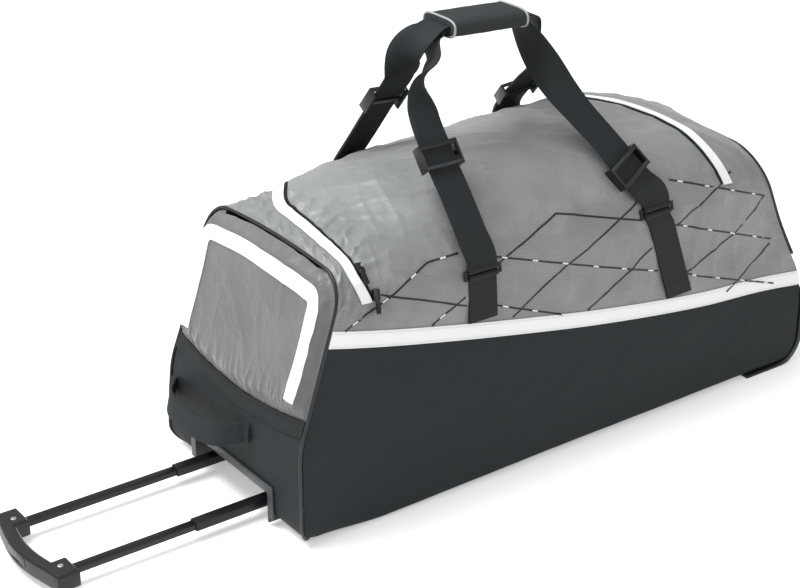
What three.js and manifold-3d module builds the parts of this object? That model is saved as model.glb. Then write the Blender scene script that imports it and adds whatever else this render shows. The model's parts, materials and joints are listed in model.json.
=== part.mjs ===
// Wheeled sports and ski travel bag with a telescopic trolley handle.
// Millimetres, +Z up. x runs from the trolley handle (-) to the wheels (+), the near side is -Y.
// The group is centred over its footprint at the end, so that the origin is on the floor.
import * as THREE from 'three';
import { mergeVertices } from 'three/addons/utils/BufferGeometryUtils.js';
import Module from 'manifold-3d';

const wasm = await Module();
wasm.setup();

// Body of the bag
const bagLength = 880;
const bagWidth = 332;
const frontHeight = 361;
const rearHeight = 352;
const crownHeight = 419;
const handleHeight = 578;
const frontLean = 70;
const rearLean = 94;
const leanStart = 120;
const leanEase = 40;
const baseArch = 4;
const rearLift = 5;
const sideBulge = 6;
const middleTaper = 0.07;
const frontTaper = 0.07;
const rearTaper = 0.12;
const frontSway = 11;
const baseCornerRadius = 10;
const frontCornerRadius = 45;
const rearCornerRadius = 65;
const middleCornerRadius = 120;
const frontFootRadius = 32;
const rearFootRadius = 40;
const endCrownAngle = THREE.MathUtils.degToRad(4);
const middleCrownAngle = THREE.MathUtils.degToRad(20);

// Cloth, seams and trims
const cloth = 2;
const seamGap = 0.3;
const layGap = 0.5;
const pipingRadius = 2.2;
const pipingSeat = pipingRadius + 1;
const lidGap = 0.8;
const stripeWidth = 21.5;
const stripeThickness = 1.2;
const flapWidth = 22;
const pocketBulge = 14;
const pocketRamp = 17;
const hemTop = 162;
const hemSag = 16;
const hemHeight = 20;
const hemThickness = 2;
const trimWidth = 23;
const trimEnd = 200;
const endBulge = 5;

// Trolley handle
const railSpacing = 130;
const railHeight = 21.5;
const outerTube = { width: 16, height: 11.5, length: 271 };
const innerTube = { width: 12.6, height: 8.4 };
const tubeWall = 1.2;
const slideGap = 0.3;
const recessHalfWidth = 90;
const recessHeight = 47;
const recessDepth = 60;
const housingWall = 3;
const housingFlange = 9;
const housingProud = 4;
const tubeTuck = 2;
const sleeveSpare = 19;
const nearStageReach = 98;
const farStageReach = 51;
const gripInnerReach = 268;
const gripTravel = 306;
const gripHalfLength = 88;
const gripHeight = 25;
const gripBlock = 30;
const gripBow = 14;
const gripBarDepth = 20;
const buttonLength = 46;
const screwRadius = 4;

// Wheel end
const wheelRadius = 36;
const wheelWidth = 22;
const wheelInset = 40;
const wheelBack = 28;
const wheelClearance = 3;
const axleRadius = 4;
const axleGap = 0.3;
const guardThickness = 9;
const guardGap = 0.9;
const guardWidth = 82;
const guardReach = 100;
const guardHeight = 115;

// Carry straps
const webbing = 50;
const webbingThickness = 2;
const ringBar = 4;
const ringGap = 0.4;
const gliderLength = 34;
const gliderBar = 3;
const gliderRoom = 2.9;
const wrapLength = 124;

const colours = {
  charcoal: 0x33383b, grey: 0x84898a, white: 0xf4f4f2, plastic: 0x55595c,
  black: 0x141517, webbing: 0x2e3235, rubber: 0x1b1b1c, metal: 0xa8abad,
};

const halfLength = bagLength / 2;
const halfWidth = bagWidth / 2;
const bag = new THREE.Group();
const clamp01 = (t) => Math.min(1, Math.max(0, t));
const smooth = (t) => clamp01(t) ** 2 * (3 - 2 * clamp01(t));
const mix = THREE.MathUtils.lerp;

function addPart(name, geometry, colour, roughness = 0.85, metalness = 0) {
  const tidy = geometry.index ? geometry : mergeVertices(geometry);
  const material = new THREE.MeshStandardMaterial({ color: colour, roughness, metalness });
  const mesh = new THREE.Mesh(tidy, material);
  mesh.name = name;
  bag.add(mesh);
  return mesh;
}

// Booleans
function toSolid(geometry) {
  const bare = geometry.clone();
  bare.deleteAttribute('normal');
  bare.deleteAttribute('uv');
  const merged = mergeVertices(bare, 1e-4);
  return new wasm.Manifold(new wasm.Mesh({
    numProp: 3,
    vertProperties: new Float32Array(merged.attributes.position.array),
    triVerts: new Uint32Array(merged.index.array),
  }));
}

function fromSolid(solid) {
  const mesh = solid.getMesh();
  const geometry = new THREE.BufferGeometry();
  const corners = new Float32Array(mesh.vertProperties);
  geometry.setAttribute('position', new THREE.BufferAttribute(corners, 3));
  geometry.setIndex(new THREE.BufferAttribute(new Uint32Array(mesh.triVerts), 1));
  geometry.computeVertexNormals();
  return geometry;
}

function cut(geometry, ...tools) {
  return fromSolid(tools.reduce((rest, tool) => rest.subtract(toSolid(tool)), toSolid(geometry)));
}

function join(first, ...others) {
  return fromSolid(others.reduce((whole, other) => whole.add(toSolid(other)), toSolid(first)));
}

function block(x0, x1, y0, y1, z0, z1) {
  return new THREE.BoxGeometry(x1 - x0, y1 - y0, z1 - z0)
    .translate((x0 + x1) / 2, (y0 + y1) / 2, (z0 + z1) / 2);
}

function acrossCylinder(radius, y0, y1, x, z, sides = 16) {
  return new THREE.CylinderGeometry(radius, radius, y1 - y0, sides).translate(x, (y0 + y1) / 2, z);
}

// A value read off a table of rows [place, value], with a smooth curve between the rows.
function readTable(table, place) {
  const last = table.length - 1;
  let row = 0;
  while (row < last - 1 && place > table[row + 1][0]) row += 1;
  const [x0, y0] = table[row];
  const [x1, y1] = table[row + 1];
  const before = table[Math.max(0, row - 1)];
  const after = table[Math.min(last, row + 2)];
  const t = clamp01((place - x0) / (x1 - x0));
  const slope0 = (y1 - before[1]) / (x1 - before[0]) * (x1 - x0);
  const slope1 = (after[1] - y0) / (after[0] - x0) * (x1 - x0);
  const t2 = t * t;
  const t3 = t2 * t;
  return (2 * t3 - 3 * t2 + 1) * y0 + (t3 - 2 * t2 + t) * slope0
    + (3 * t2 - 2 * t3) * y1 + (t3 - t2) * slope1;
}

// Rise of the top towards each end: [share of the half length, share of the crown's rise]
const frontRise = [[0, 1], [0.25, 0.93], [0.5, 0.71], [0.7, 0.38], [0.85, 0.12], [1, 0]];
const rearRise = [[0, 1], [0.25, 1], [0.5, 0.87], [0.7, 0.63], [0.85, 0.36], [1, 0]];
// Lower edge of the white side stripe: [place along the bag, share of the front height]
const stripeLine = [[-1, 0.753], [-0.66, 0.67], [-0.3, 0.584], [0.09, 0.496], [0.52, 0.418],
  [0.8, 0.385], [1, 0.349]];
// Zip lines over the top: [share of the way across the lid, place along the bag]
const frontZip = [[0, -0.835], [0.12, -0.885], [0.3, -0.885], [0.5, -0.865], [0.66, -0.835], [0.8, -0.75],
  [1, -0.6]];
const rearZip = [[0, 0.705], [0.12, 0.665], [0.3, 0.6], [0.5, 0.51], [0.75, 0.41], [1, 0.3]];
const nearLidSeam = 3.2;
const farLidSeam = 6.7;

// The bag's section at a place s from -1 (front) to 1 (rear).
function section(s) {
  const rear = s > 0;
  const endHeight = rear ? rearHeight : frontHeight;
  const rise = readTable(rear ? rearRise : frontRise, Math.abs(s));
  const top = mix(endHeight, crownHeight, rise);
  const middle = 1 - s * s;
  const endRadius = rear ? rearCornerRadius : frontCornerRadius;
  const radius = mix(endRadius, middleCornerRadius, middle);
  const angle = mix(endCrownAngle, middleCrownAngle, middle);
  const crownHalf = halfWidth - radius * (1 - Math.sin(angle));
  const crown = Math.tan(angle) * crownHalf / 2;
  const sideTop = top - crown - radius * Math.cos(angle);
  const lift = rear ? rearLift * smooth(s / 0.8) : 0;
  const base = baseArch * (1 - smooth(Math.abs(s) / 0.8)) + lift;
  return { top, middle, radius, angle, crownHalf, crown, sideTop, base };
}

function endX(end, z) {
  const lean = end > 0 ? rearLean : frontLean;
  const endHeight = end > 0 ? rearHeight : frontHeight;
  const footRadius = end > 0 ? rearFootRadius : frontFootRadius;
  const base = section(end).base;
  const low = Math.min(footRadius, Math.max(0, footRadius - (z - base)));
  const tuck = footRadius - Math.sqrt(footRadius ** 2 - low ** 2);
  const rise = Math.max(0, z - leanStart);
  const eased = rise < leanEase ? rise * rise / (2 * leanEase) : rise - leanEase / 2;
  const tilt = lean * eased / (endHeight - leanStart - leanEase / 2);
  return { tuck, tilt, x: end * (halfLength - tuck - tilt) };
}

// Outer face of the bag. g runs round the section: 0 is the base's middle, 1 and 2 the bottom
// corner, 3 and 4 the shoulder, 5 the middle of the top, then on down the far side to 10.
function skin(s, girth) {
  const g = girth > 5 ? girth - 10 : girth;
  const v = Math.abs(g);
  const side = g > 0 ? -1 : 1;
  const at = section(s);
  const foot = at.base + baseCornerRadius;
  let y;
  let z;
  if (v <= 1) {
    y = v * (halfWidth - baseCornerRadius);
    z = at.base;
  } else if (v <= 2) {
    const turn = (v - 1) * Math.PI / 2;
    y = halfWidth - baseCornerRadius + baseCornerRadius * Math.sin(turn);
    z = foot - baseCornerRadius * Math.cos(turn);
  } else if (v <= 3) {
    y = halfWidth;
    z = mix(foot, at.sideTop, v - 2);
  } else if (v <= 4) {
    const turn = mix(Math.PI / 2, at.angle, v - 3);
    y = at.crownHalf - at.radius * Math.sin(at.angle) + at.radius * Math.sin(turn);
    z = at.sideTop + at.radius * Math.cos(turn);
  } else {
    y = at.crownHalf * (5 - v);
    z = at.top - at.crown * (5 - v) ** 2;
  }
  const swell = Math.sin(Math.PI * clamp01((z - at.base) / (at.sideTop + 60)));
  y += sideBulge * at.middle * swell * y / halfWidth;
  const end = s > 0 ? 1 : -1;
  const frontRamp = smooth((z - 20) / 180);
  const endTaper = end > 0 ? rearTaper * smooth((z - 90) / 160) : frontTaper * frontRamp;
  y *= 1 - mix(middleTaper * smooth((z - 100) / (frontHeight - 60)), endTaper, Math.abs(s) ** 3);
  const sway = end < 0 ? frontSway * frontRamp * Math.abs(s) ** 3 : 0;
  const ends = endX(end, z);
  const x = s * halfLength - end * (Math.abs(s) ** 3 * ends.tilt + Math.abs(s) ** 10 * ends.tuck);
  return new THREE.Vector3(x, side * y - sway, z);
}

// The girth at which one side of the section reaches height z.
function girthAtHeight(s, z) {
  let low = 1;
  let high = 5;
  for (let i = 0; i < 22; i += 1) {
    const middle = (low + high) / 2;
    if (skin(s, middle).z < z) low = middle;
    else high = middle;
  }
  return high;
}

// Sheets of cloth
const bagHeart = new THREE.Vector3(0, 0, 150);

function normalAt(surface, a, b) {
  const step = 0.002;
  const a0 = Math.max(0, a - step);
  const a1 = Math.min(1, a + step);
  const b0 = Math.max(0, b - step);
  const b1 = Math.min(1, b + step);
  const along = surface(a1, b).sub(surface(a0, b));
  const across = surface(a, b1).sub(surface(a, b0));
  return along.cross(across).normalize();
}

// How far the surface runs for a whole step of a or of b, measured near a point of it.
function runAt(surface, a, b, along) {
  const step = 0.01;
  const from = Math.min(along ? a : b, 1 - step);
  const start = along ? surface(from, b) : surface(a, from);
  const stop = along ? surface(from + step, b) : surface(a, from + step);
  return Math.max(start.distanceTo(stop) / step, 1);
}

// A closed sheet between two offsets of surface(a, b). lift is how far its inner face stands off
// the surface, and edges holds how far it stops short of each edge: a=0, a=1, b=0, b=1. stops
// gives the columns' places where they are not even.
function sheet(surface, columns, rows, { lift = -cloth, thickness = cloth, edges = [], stops } = {}) {
  const [a0, a1, b0, b1] = [0, 1, 2, 3].map((i) => edges[i] ?? seamGap / 2);
  const middle = surface(0.5, 0.5);
  const outward = Math.sign(normalAt(surface, 0.5, 0.5).dot(middle.clone().sub(bagHeart)));
  const points = [];
  for (const height of [lift + thickness, lift]) {
    for (let j = 0; j <= rows; j += 1) {
      for (let i = 0; i <= columns; i += 1) {
        const s = stops ? stops[i] : i / columns;
        const t = j / rows;
        const a = THREE.MathUtils.clamp(s, a0 / runAt(surface, 0, t, true),
          1 - a1 / runAt(surface, 1, t, true));
        const b = THREE.MathUtils.clamp(t, b0 / runAt(surface, s, 0, false),
          1 - b1 / runAt(surface, s, 1, false));
        const normal = normalAt(surface, a, b).multiplyScalar(outward * height);
        points.push(...surface(a, b).add(normal).toArray());
      }
    }
  }
  const triangles = [];
  const layer = (columns + 1) * (rows + 1);
  const corner = (i, j, deep) => deep * layer + j * (columns + 1) + i;
  const quad = (p, q, r, t) => {
    if (outward > 0) triangles.push(p, q, r, p, r, t);
    else triangles.push(p, r, q, p, t, r);
  };
  for (let j = 0; j < rows; j += 1) {
    for (let i = 0; i < columns; i += 1) {
      quad(corner(i, j, 0), corner(i + 1, j, 0), corner(i + 1, j + 1, 0), corner(i, j + 1, 0));
      quad(corner(i, j, 1), corner(i, j + 1, 1), corner(i + 1, j + 1, 1), corner(i + 1, j, 1));
    }
  }
  for (let i = 0; i < columns; i += 1) {
    quad(corner(i, 0, 1), corner(i + 1, 0, 1), corner(i + 1, 0, 0), corner(i, 0, 0));
    quad(corner(i, rows, 0), corner(i + 1, rows, 0), corner(i + 1, rows, 1), corner(i, rows, 1));
  }
  for (let j = 0; j < rows; j += 1) {
    quad(corner(0, j, 0), corner(0, j + 1, 0), corner(0, j + 1, 1), corner(0, j, 1));
    quad(corner(columns, j, 1), corner(columns, j + 1, 1), corner(columns, j + 1, 0),
      corner(columns, j, 0));
  }
  const geometry = new THREE.BufferGeometry();
  geometry.setAttribute('position', new THREE.Float32BufferAttribute(points, 3));
  geometry.setIndex(triangles);
  geometry.computeVertexNormals();
  return geometry;
}

// A bar swept through stations, each with a centre, two unit directions and two half sizes.
function sweep(stations, sides = 4) {
  const points = [];
  const triangles = [];
  for (const { centre, wide, thick, halfWide, halfThick } of stations) {
    for (let k = 0; k < sides; k += 1) {
      const turn = (k + 0.5) / sides * 2 * Math.PI;
      const reach = sides === 4 ? Math.SQRT2 : 1;
      const point = centre.clone()
        .addScaledVector(wide, halfWide * reach * Math.cos(turn))
        .addScaledVector(thick, halfThick * reach * Math.sin(turn));
      points.push(...point.toArray());
    }
  }
  const last = stations.length - 1;
  for (let n = 0; n < last; n += 1) {
    for (let k = 0; k < sides; k += 1) {
      const p = n * sides + k;
      const q = n * sides + (k + 1) % sides;
      triangles.push(p, q, q + sides, p, q + sides, p + sides);
    }
  }
  for (let k = 1; k < sides - 1; k += 1) {
    triangles.push(0, k + 1, k);
    triangles.push(last * sides, last * sides + k, last * sides + k + 1);
  }
  const geometry = new THREE.BufferGeometry();
  geometry.setAttribute('position', new THREE.Float32BufferAttribute(points, 3));
  geometry.setIndex(triangles);
  const travel = stations[1].centre.clone().sub(stations[0].centre);
  if (stations[0].wide.clone().cross(stations[0].thick).dot(travel) < 0) {
    for (let i = 0; i < triangles.length; i += 3) {
      [triangles[i + 1], triangles[i + 2]] = [triangles[i + 2], triangles[i + 1]];
    }
    geometry.setIndex(triangles);
  }
  geometry.computeVertexNormals();
  return geometry;
}

// Side panels, stripes, base and upper panels
const sides = [{ label: 'near', sign: 1 }, { label: 'far', sign: -1 }];
const stripeLow = (s) => readTable(stripeLine, s) * frontHeight;
const alongBag = (a) => mix(-1, 1, a);
const yokeColumns = 3;
const lidColumns = 10;
const bodyColumns = 2 * yokeColumns + lidColumns;

// Columns along the whole bag that meet the columns of the yokes and the lid at their seams.
function seamStops(b) {
  const front = (readTable(frontZip, b) + 1) / 2;
  const rear = (readTable(rearZip, b) + 1) / 2;
  const stops = [];
  for (let i = 0; i < yokeColumns; i += 1) stops.push(front * i / yokeColumns);
  for (let i = 0; i < lidColumns; i += 1) stops.push(mix(front, rear, i / lidColumns));
  for (let i = 0; i <= yokeColumns; i += 1) stops.push(mix(rear, 1, i / yokeColumns));
  return stops;
}

for (const { label, sign } of sides) {
  const girth = (v) => (sign > 0 ? v : 10 - v);
  const seamSide = sign > 0 ? nearLidSeam : 10 - farLidSeam;
  const stops = seamStops(sign > 0 ? 0 : 1);
  const seam = (s) => girthAtHeight(s, stripeLow(s) + stripeWidth / 2);
  addPart(`${label}_side_panel`, sheet(
    (a, b) => skin(alongBag(a), girth(mix(1, seam(alongBag(a)), b))),
    bodyColumns, 5, { stops, edges: [pipingSeat, pipingSeat] }), colours.charcoal);
  addPart(`${label}_upper_panel`, sheet(
    (a, b) => skin(alongBag(a), girth(mix(seam(alongBag(a)), seamSide, b))),
    bodyColumns, 4, { stops, edges: [pipingSeat, pipingSeat, seamGap / 2, lidGap / 2] }),
  colours.grey, 0.55);
  const stripeEdge = (s, b) => girthAtHeight(s, stripeLow(s) + stripeWidth * b);
  addPart(`${label}_side_stripe`, sheet(
    (a, b) => skin(alongBag(a), girth(stripeEdge(alongBag(a), b))),
    bodyColumns, 2, { stops, lift: layGap, thickness: stripeThickness, edges: [pipingSeat, pipingSeat] }),
  colours.white, 0.6);
}

const lidGirth = (b) => mix(nearLidSeam, farLidSeam, b);
const lidRows = 12;
const lidSeams = [lidGap / 2, lidGap / 2];
addPart('lid_panel', sheet(
  (a, b) => skin(mix(readTable(frontZip, b), readTable(rearZip, b), a), lidGirth(b)),
  lidColumns, lidRows, { edges: [...lidSeams, ...lidSeams] }), colours.grey, 0.5);
addPart('front_yoke', sheet(
  (a, b) => skin(mix(-1, readTable(frontZip, b), a), lidGirth(b)),
  yokeColumns, lidRows, { edges: [pipingSeat, ...lidSeams, lidGap / 2] }), colours.grey, 0.55);
addPart('rear_yoke', sheet(
  (a, b) => skin(mix(readTable(rearZip, b), 1, a), lidGirth(b)),
  yokeColumns, lidRows, { edges: [lidGap / 2, pipingSeat, ...lidSeams] }), colours.grey, 0.55);

// White flaps over the zip
const flapShare = flapWidth / halfLength;
const flapLift = 1.1;
const flapLay = { lift: flapLift, thickness: stripeThickness };
const zipFlap = (line) => (a, b) => skin(readTable(line, b) + flapShare * (a - 0.5), lidGirth(b));
addPart('front_zip_flap', sheet(zipFlap(frontZip), 2, lidRows, { ...flapLay, edges: [0, 0, 0, 14] }),
  colours.white, 0.6);
addPart('rear_zip_flap', sheet(zipFlap(rearZip), 2, lidRows, { ...flapLay, edges: [0, 0, 0, 14] }),
  colours.white, 0.6);
const farFlapHalf = 0.075;
addPart('far_zip_flap', sheet(
  (a, b) => skin(mix(frontZip.at(-1)[1], rearZip.at(-1)[1], a), farLidSeam + farFlapHalf * (1 - 2 * b)),
  9, 1, { ...flapLay, edges: [15, 15, 0, 0] }), colours.white, 0.6);

// Ends of the bag, drawn in from the piping. across runs from -1 (near) to 1 (far), v is the
// girth share up one side.
function endOutline(end, v) {
  const step = 0.01;
  const point = skin(end, v);
  const travel = skin(end, v + step).sub(skin(end, v - step)).setX(0).normalize();
  const inward = new THREE.Vector3(0, travel.z, -travel.y);
  const upSide = Math.min(v, 10 - v);
  return point.addScaledVector(inward, pipingSeat * smooth((upSide - 1) / 0.5));
}
function endSpan(end, v) {
  const near = endOutline(end, v);
  const far = endOutline(end, 10 - v);
  return { middle: (near.y + far.y) / 2, half: (far.y - near.y) / 2, z: (near.z + far.z) / 2 };
}
function endFace(end, across, v, bulge) {
  const { middle, half, z: edgeZ } = endSpan(end, v);
  const z = edgeZ + section(end).crown * (1 - across * across) * smooth(v - 3);
  return new THREE.Vector3(endX(end, z).x + end * bulge(across, z, half), middle + across * half, z);
}

const hemLine = (across) => hemTop + hemSag * across * across;
const hemGirth = (across, below = 0) => girthAtHeight(-1, hemLine(across) - below);

const recessOuter = recessHalfWidth + housingWall;
const recessBack = -halfLength + recessDepth;
const recessTop = recessHeight + housingWall;
const recessCut = block(-halfLength - 20, recessBack + housingWall + seamGap,
  -recessOuter - seamGap, recessOuter + seamGap, -10, recessTop + seamGap);

const endColumns = 12;
const flat = () => 0;
addPart('front_lower_panel', cut(sheet((a, b) => {
  const across = alongBag(a);
  return endFace(-1, across, mix(1, hemGirth(across), b), flat);
}, endColumns, 5, { edges: [0, 0] }), recessCut), colours.charcoal);
addPart('front_hem_band', sheet((a, b) => {
  const across = alongBag(a);
  return endFace(-1, across, mix(hemGirth(across, hemHeight), hemGirth(across, 1), b), flat);
}, endColumns, 1, { lift: layGap, thickness: hemThickness, edges: [0, 0] }), colours.charcoal);

// The pocket stands out from the end on a gathered gusset.
function pocketOut(across, z, half) {
  const fromSide = half * (1 - Math.abs(across));
  const fromTop = frontHeight - z;
  const turn = pocketRamp * 2;
  const cornerRound = Math.hypot(Math.max(0, turn - fromSide), Math.max(0, turn - fromTop));
  const fromRim = Math.min(fromSide, fromTop, turn - cornerRound + 8);
  return pocketBulge * smooth(fromRim / pocketRamp) * smooth((z - hemLine(across)) / (pocketRamp * 1.6));
}
addPart('front_pocket', sheet((a, b) => {
  const across = alongBag(a);
  return endFace(-1, across, mix(hemGirth(across), 4, b), pocketOut);
}, endColumns, 10, { edges: [0, 0, seamGap, 0] }), colours.grey, 0.55);

// White trim round the pocket: an upside down U, set in from the end's outline.
function trimPath(a, inset) {
  const start = girthAtHeight(-1, trimEnd);
  const g = mix(start, 10 - start, a);
  const step = 0.01;
  const point = skin(-1, g);
  const tangent = skin(-1, g + step).sub(skin(-1, g - step)).setX(0).normalize();
  const inward = new THREE.Vector3(0, -tangent.z, tangent.y);
  if (inward.dot(new THREE.Vector3(0, -point.y, 200 - point.z)) < 0) inward.negate();
  return point.addScaledVector(inward, inset);
}
function onPocket(point) {
  let low = girthAtHeight(-1, trimEnd / 2);
  let high = 4;
  for (let i = 0; i < 24; i += 1) {
    const v = (low + high) / 2;
    const { middle, half, z: edgeZ } = endSpan(-1, v);
    const across = THREE.MathUtils.clamp((point.y - middle) / half, -1, 1);
    const z = edgeZ + section(-1).crown * (1 - across * across) * smooth(v - 3);
    if (z < point.z) low = v;
    else high = v;
  }
  const { middle, half } = endSpan(-1, high);
  const across = THREE.MathUtils.clamp((point.y - middle) / half, -1, 1);
  return endFace(-1, across, high, pocketOut);
}
const trimOuter = pocketRamp;
addPart('pocket_trim', sheet(
  (a, b) => onPocket(trimPath(a, mix(trimOuter, trimOuter + trimWidth, b))),
  24, 2, { lift: layGap + 0.6, thickness: stripeThickness, edges: [0, 0, 0, 0] }), colours.white, 0.6);

// Wheels, axles and corner housings
const wheelX = halfLength - wheelBack;
const wheelY = halfWidth - wheelInset;
const wheelZ = wheelRadius;
const wellHalf = wheelWidth / 2 + wheelClearance;
const wellReach = wheelRadius + wheelClearance;
const cheek = 3;
const guardOuter = halfWidth + 1;
const wellCuts = sides.map(({ sign }) => {
  const inner = wheelY - wellHalf - cheek - seamGap;
  const outer = wheelY + wellHalf + cheek + seamGap;
  const [y0, y1] = sign > 0 ? [-outer, -inner] : [inner, outer];
  return block(wheelX - wellReach - cheek - seamGap, halfLength + 30, y0, y1, -10,
    wheelZ + wellReach + cheek + seamGap);
});

addPart('base_panel', cut(sheet(
  (a, b) => skin(alongBag(a), mix(1, -1, b)), 12, 6),
recessCut, ...wellCuts), colours.charcoal);
const softEnd = (across, z) => endBulge * (1 - across ** 4) * smooth((z - guardHeight - 5) / 60)
  * smooth((rearHeight - z) / 40);
addPart('rear_end_panel', cut(sheet(
  (a, b) => endFace(1, mix(-1, 1, a), mix(1, 4, b), softEnd),
  8, 14, { edges: [0, 0, seamGap / 2, 0] }), ...wellCuts), colours.charcoal);

// Side outline of the rear foot at a distance out from the cloth, from under the base and up.
function guardLine(out) {
  const line = [];
  const base = section(1).base;
  const centreX = halfLength - rearFootRadius;
  const start = new THREE.Vector2(halfLength - guardReach, skin(1 - guardReach / halfLength, 0).z - out);
  line.push(start);
  const radius = rearFootRadius + out;
  for (let k = 0; k <= 6; k += 1) {
    const turn = k / 6 * Math.PI / 2;
    line.push(new THREE.Vector2(centreX + radius * Math.sin(turn),
      base + rearFootRadius - radius * Math.cos(turn)));
  }
  line.push(new THREE.Vector2(halfLength + out, guardHeight));
  return line;
}

for (const { label, sign } of sides) {
  const outline = [...guardLine(guardThickness), ...guardLine(guardGap).reverse()];
  outline.forEach((point) => { point.y = Math.max(point.y, 0); });
  const guard = new THREE.ExtrudeGeometry(new THREE.Shape(outline), { depth: guardWidth, bevelEnabled: false })
    .rotateX(Math.PI / 2)
    .translate(0, sign > 0 ? -guardOuter + guardWidth : guardOuter, 0);
  const near = -sign * (wheelY + wellHalf + cheek);
  const far = -sign * (wheelY - wellHalf - cheek);
  const [y0, y1] = [Math.min(near, far), Math.max(near, far)];
  const wellTop = wheelZ + wellReach + cheek;
  const box = block(wheelX - wellReach - cheek, halfLength + seamGap * 2, y0, y1, seamGap * 20, wellTop);
  const hollow = block(wheelX - wellReach, halfLength + 40, y0 + cheek, y1 - cheek, -20, wellTop - cheek);
  const axleHole = acrossCylinder(axleRadius + axleGap, y0 - 1, y1 + 1, wheelX, wheelZ, 20);
  addPart(`${label}_wheel_housing`, cut(join(guard, box), hollow, axleHole), colours.plastic, 0.5);

  const rim = wheelRadius - 4;
  const hub = axleRadius + axleGap;
  const profile = [[hub, -wheelWidth / 2], [rim - 8, -wheelWidth / 2], [rim, -wheelWidth / 2 + 2],
    [wheelRadius - 1, -wheelWidth / 2 + 4], [wheelRadius, 0], [wheelRadius - 1, wheelWidth / 2 - 4],
    [rim, wheelWidth / 2 - 2], [rim - 8, wheelWidth / 2], [hub, wheelWidth / 2], [hub, -wheelWidth / 2]];
  const wheel = new THREE.LatheGeometry(profile.map(([r, y]) => new THREE.Vector2(r, y)), 20);
  wheel.translate(wheelX, -sign * wheelY, wheelZ);
  addPart(`${label}_wheel`, fromSolid(toSolid(wheel)), colours.rubber, 0.7);
  addPart(`${label}_axle`, acrossCylinder(axleRadius, y0 + seamGap, y1 - seamGap, wheelX, wheelZ, 20),
    colours.metal, 0.35, 1);
}

// Piping round both ends
function piping(end) {
  const first = 2.05;
  const fine = 240;
  const steps = 54;
  const along = [];
  for (let n = 0; n <= fine; n += 1) along.push(skin(end, mix(first, 10 - first, n / fine)));
  const outline = new THREE.CatmullRomCurve3(along).getSpacedPoints(steps);
  return sweep(outline.map((centre, n) => {
    const travel = outline[Math.min(steps, n + 1)].clone().sub(outline[Math.max(0, n - 1)]).normalize();
    const thick = new THREE.Vector3(end, 0, 0);
    const wide = travel.clone().cross(thick).normalize();
    return { centre, wide, thick: wide.clone().cross(travel), halfWide: pipingRadius, halfThick: pipingRadius };
  }), 5);
}
addPart('front_piping', piping(-1), colours.black, 0.6);
addPart('rear_piping', cut(piping(1), block(halfLength - guardReach, halfLength + 40, -300, 300, -20,
  guardHeight + seamGap)), colours.black, 0.6);

// Front grab handle: a folded band of cloth, sewn at both ends and standing off in between.
const grabTable = [
  // across the end, out from it, height of its middle, share of its full depth
  [150, 0, 100, 0.8], [141, 0, 100, 0.85], [131, 9, 100, 0.95], [108, 26, 99, 1], [70, 31, 98, 1], [20, 30, 100, 1],
  [-14, 24, 106, 1], [-34, 9, 113, 0.95], [-43, 0, 116, 0.85], [-52, 0, 118, 0.8]];
const grabDepth = 34;
const grabThickness = 5;
addPart('front_grab_handle', sweep(grabTable.map(([y, out, z, share], n) => {
  const next = grabTable[Math.min(grabTable.length - 1, n + 1)];
  const previous = grabTable[Math.max(0, n - 1)];
  const travel = new THREE.Vector3(previous[1] - next[1], next[0] - previous[0], 0).normalize();
  const wide = new THREE.Vector3(0.25, 0, 1).normalize();
  const lay = layGap + grabThickness / 2;
  return {
    centre: new THREE.Vector3(-halfLength - lay - out, y, z),
    wide: wide.clone().addScaledVector(travel, -wide.dot(travel)).normalize(),
    thick: travel.clone().cross(wide).normalize(),
    halfWide: grabDepth / 2 * share,
    halfThick: grabThickness / 2,
  };
})), colours.charcoal);

// Trolley handle
const railY = railSpacing / 2;
const frontX = -halfLength;
const housingShell = block(frontX - housingProud, recessBack + housingWall, -recessOuter, recessOuter, 4, recessTop);
const housingRoom = block(frontX - 30, recessBack, -recessHalfWidth, recessHalfWidth, -20, recessHeight);
const flangeOut = recessHalfWidth + housingFlange + housingWall;
const flange = block(frontX - housingProud, frontX - seamGap, -flangeOut, flangeOut, 12,
  recessTop + housingFlange);
const railHole = (side, size, clearance) => block(-halfLength - 10, halfLength,
  side * railY - size.width / 2 - clearance, side * railY + size.width / 2 + clearance,
  railHeight - size.height / 2 - clearance, railHeight + size.height / 2 + clearance);
addPart('trolley_housing', cut(join(housingShell, flange), housingRoom,
  railHole(1, outerTube, slideGap), railHole(-1, outerTube, slideGap)), colours.plastic, 0.5);

function tube(x0, x1, side, size, wall) {
  const y = side * railY;
  const outer = block(x0, x1, y - size.width / 2, y + size.width / 2,
    railHeight - size.height / 2, railHeight + size.height / 2);
  const inner = block(x0 - 1, x1 + 1, y - size.width / 2 + wall, y + size.width / 2 - wall,
    railHeight - size.height / 2 + wall, railHeight + size.height / 2 - wall);
  return cut(outer, inner);
}
const sleeveSize = {
  width: outerTube.width + 2 * (slideGap + tubeWall),
  height: outerTube.height + 2 * (slideGap + tubeWall),
};
const sleeveStart = recessBack + housingWall + seamGap;
const sleeveEnd = frontX + tubeTuck + gripTravel + sleeveSpare;
const gripInner = frontX - gripInnerReach;
const stages = [['near', -1, nearStageReach], ['far', 1, farStageReach]];
for (const [label, side, reach] of stages) {
  addPart(`${label}_guide_sleeve`, tube(sleeveStart, sleeveEnd, side, sleeveSize, tubeWall),
    colours.metal, 0.4, 1);
  addPart(`${label}_outer_tube`, tube(frontX - reach, frontX - reach + outerTube.length, side, outerTube, tubeWall),
    colours.black, 0.25, 0.6);
  addPart(`${label}_inner_tube`, tube(gripInner + seamGap, frontX + tubeTuck, side, innerTube, tubeWall),
    colours.black, 0.25, 0.6);
}

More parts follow.
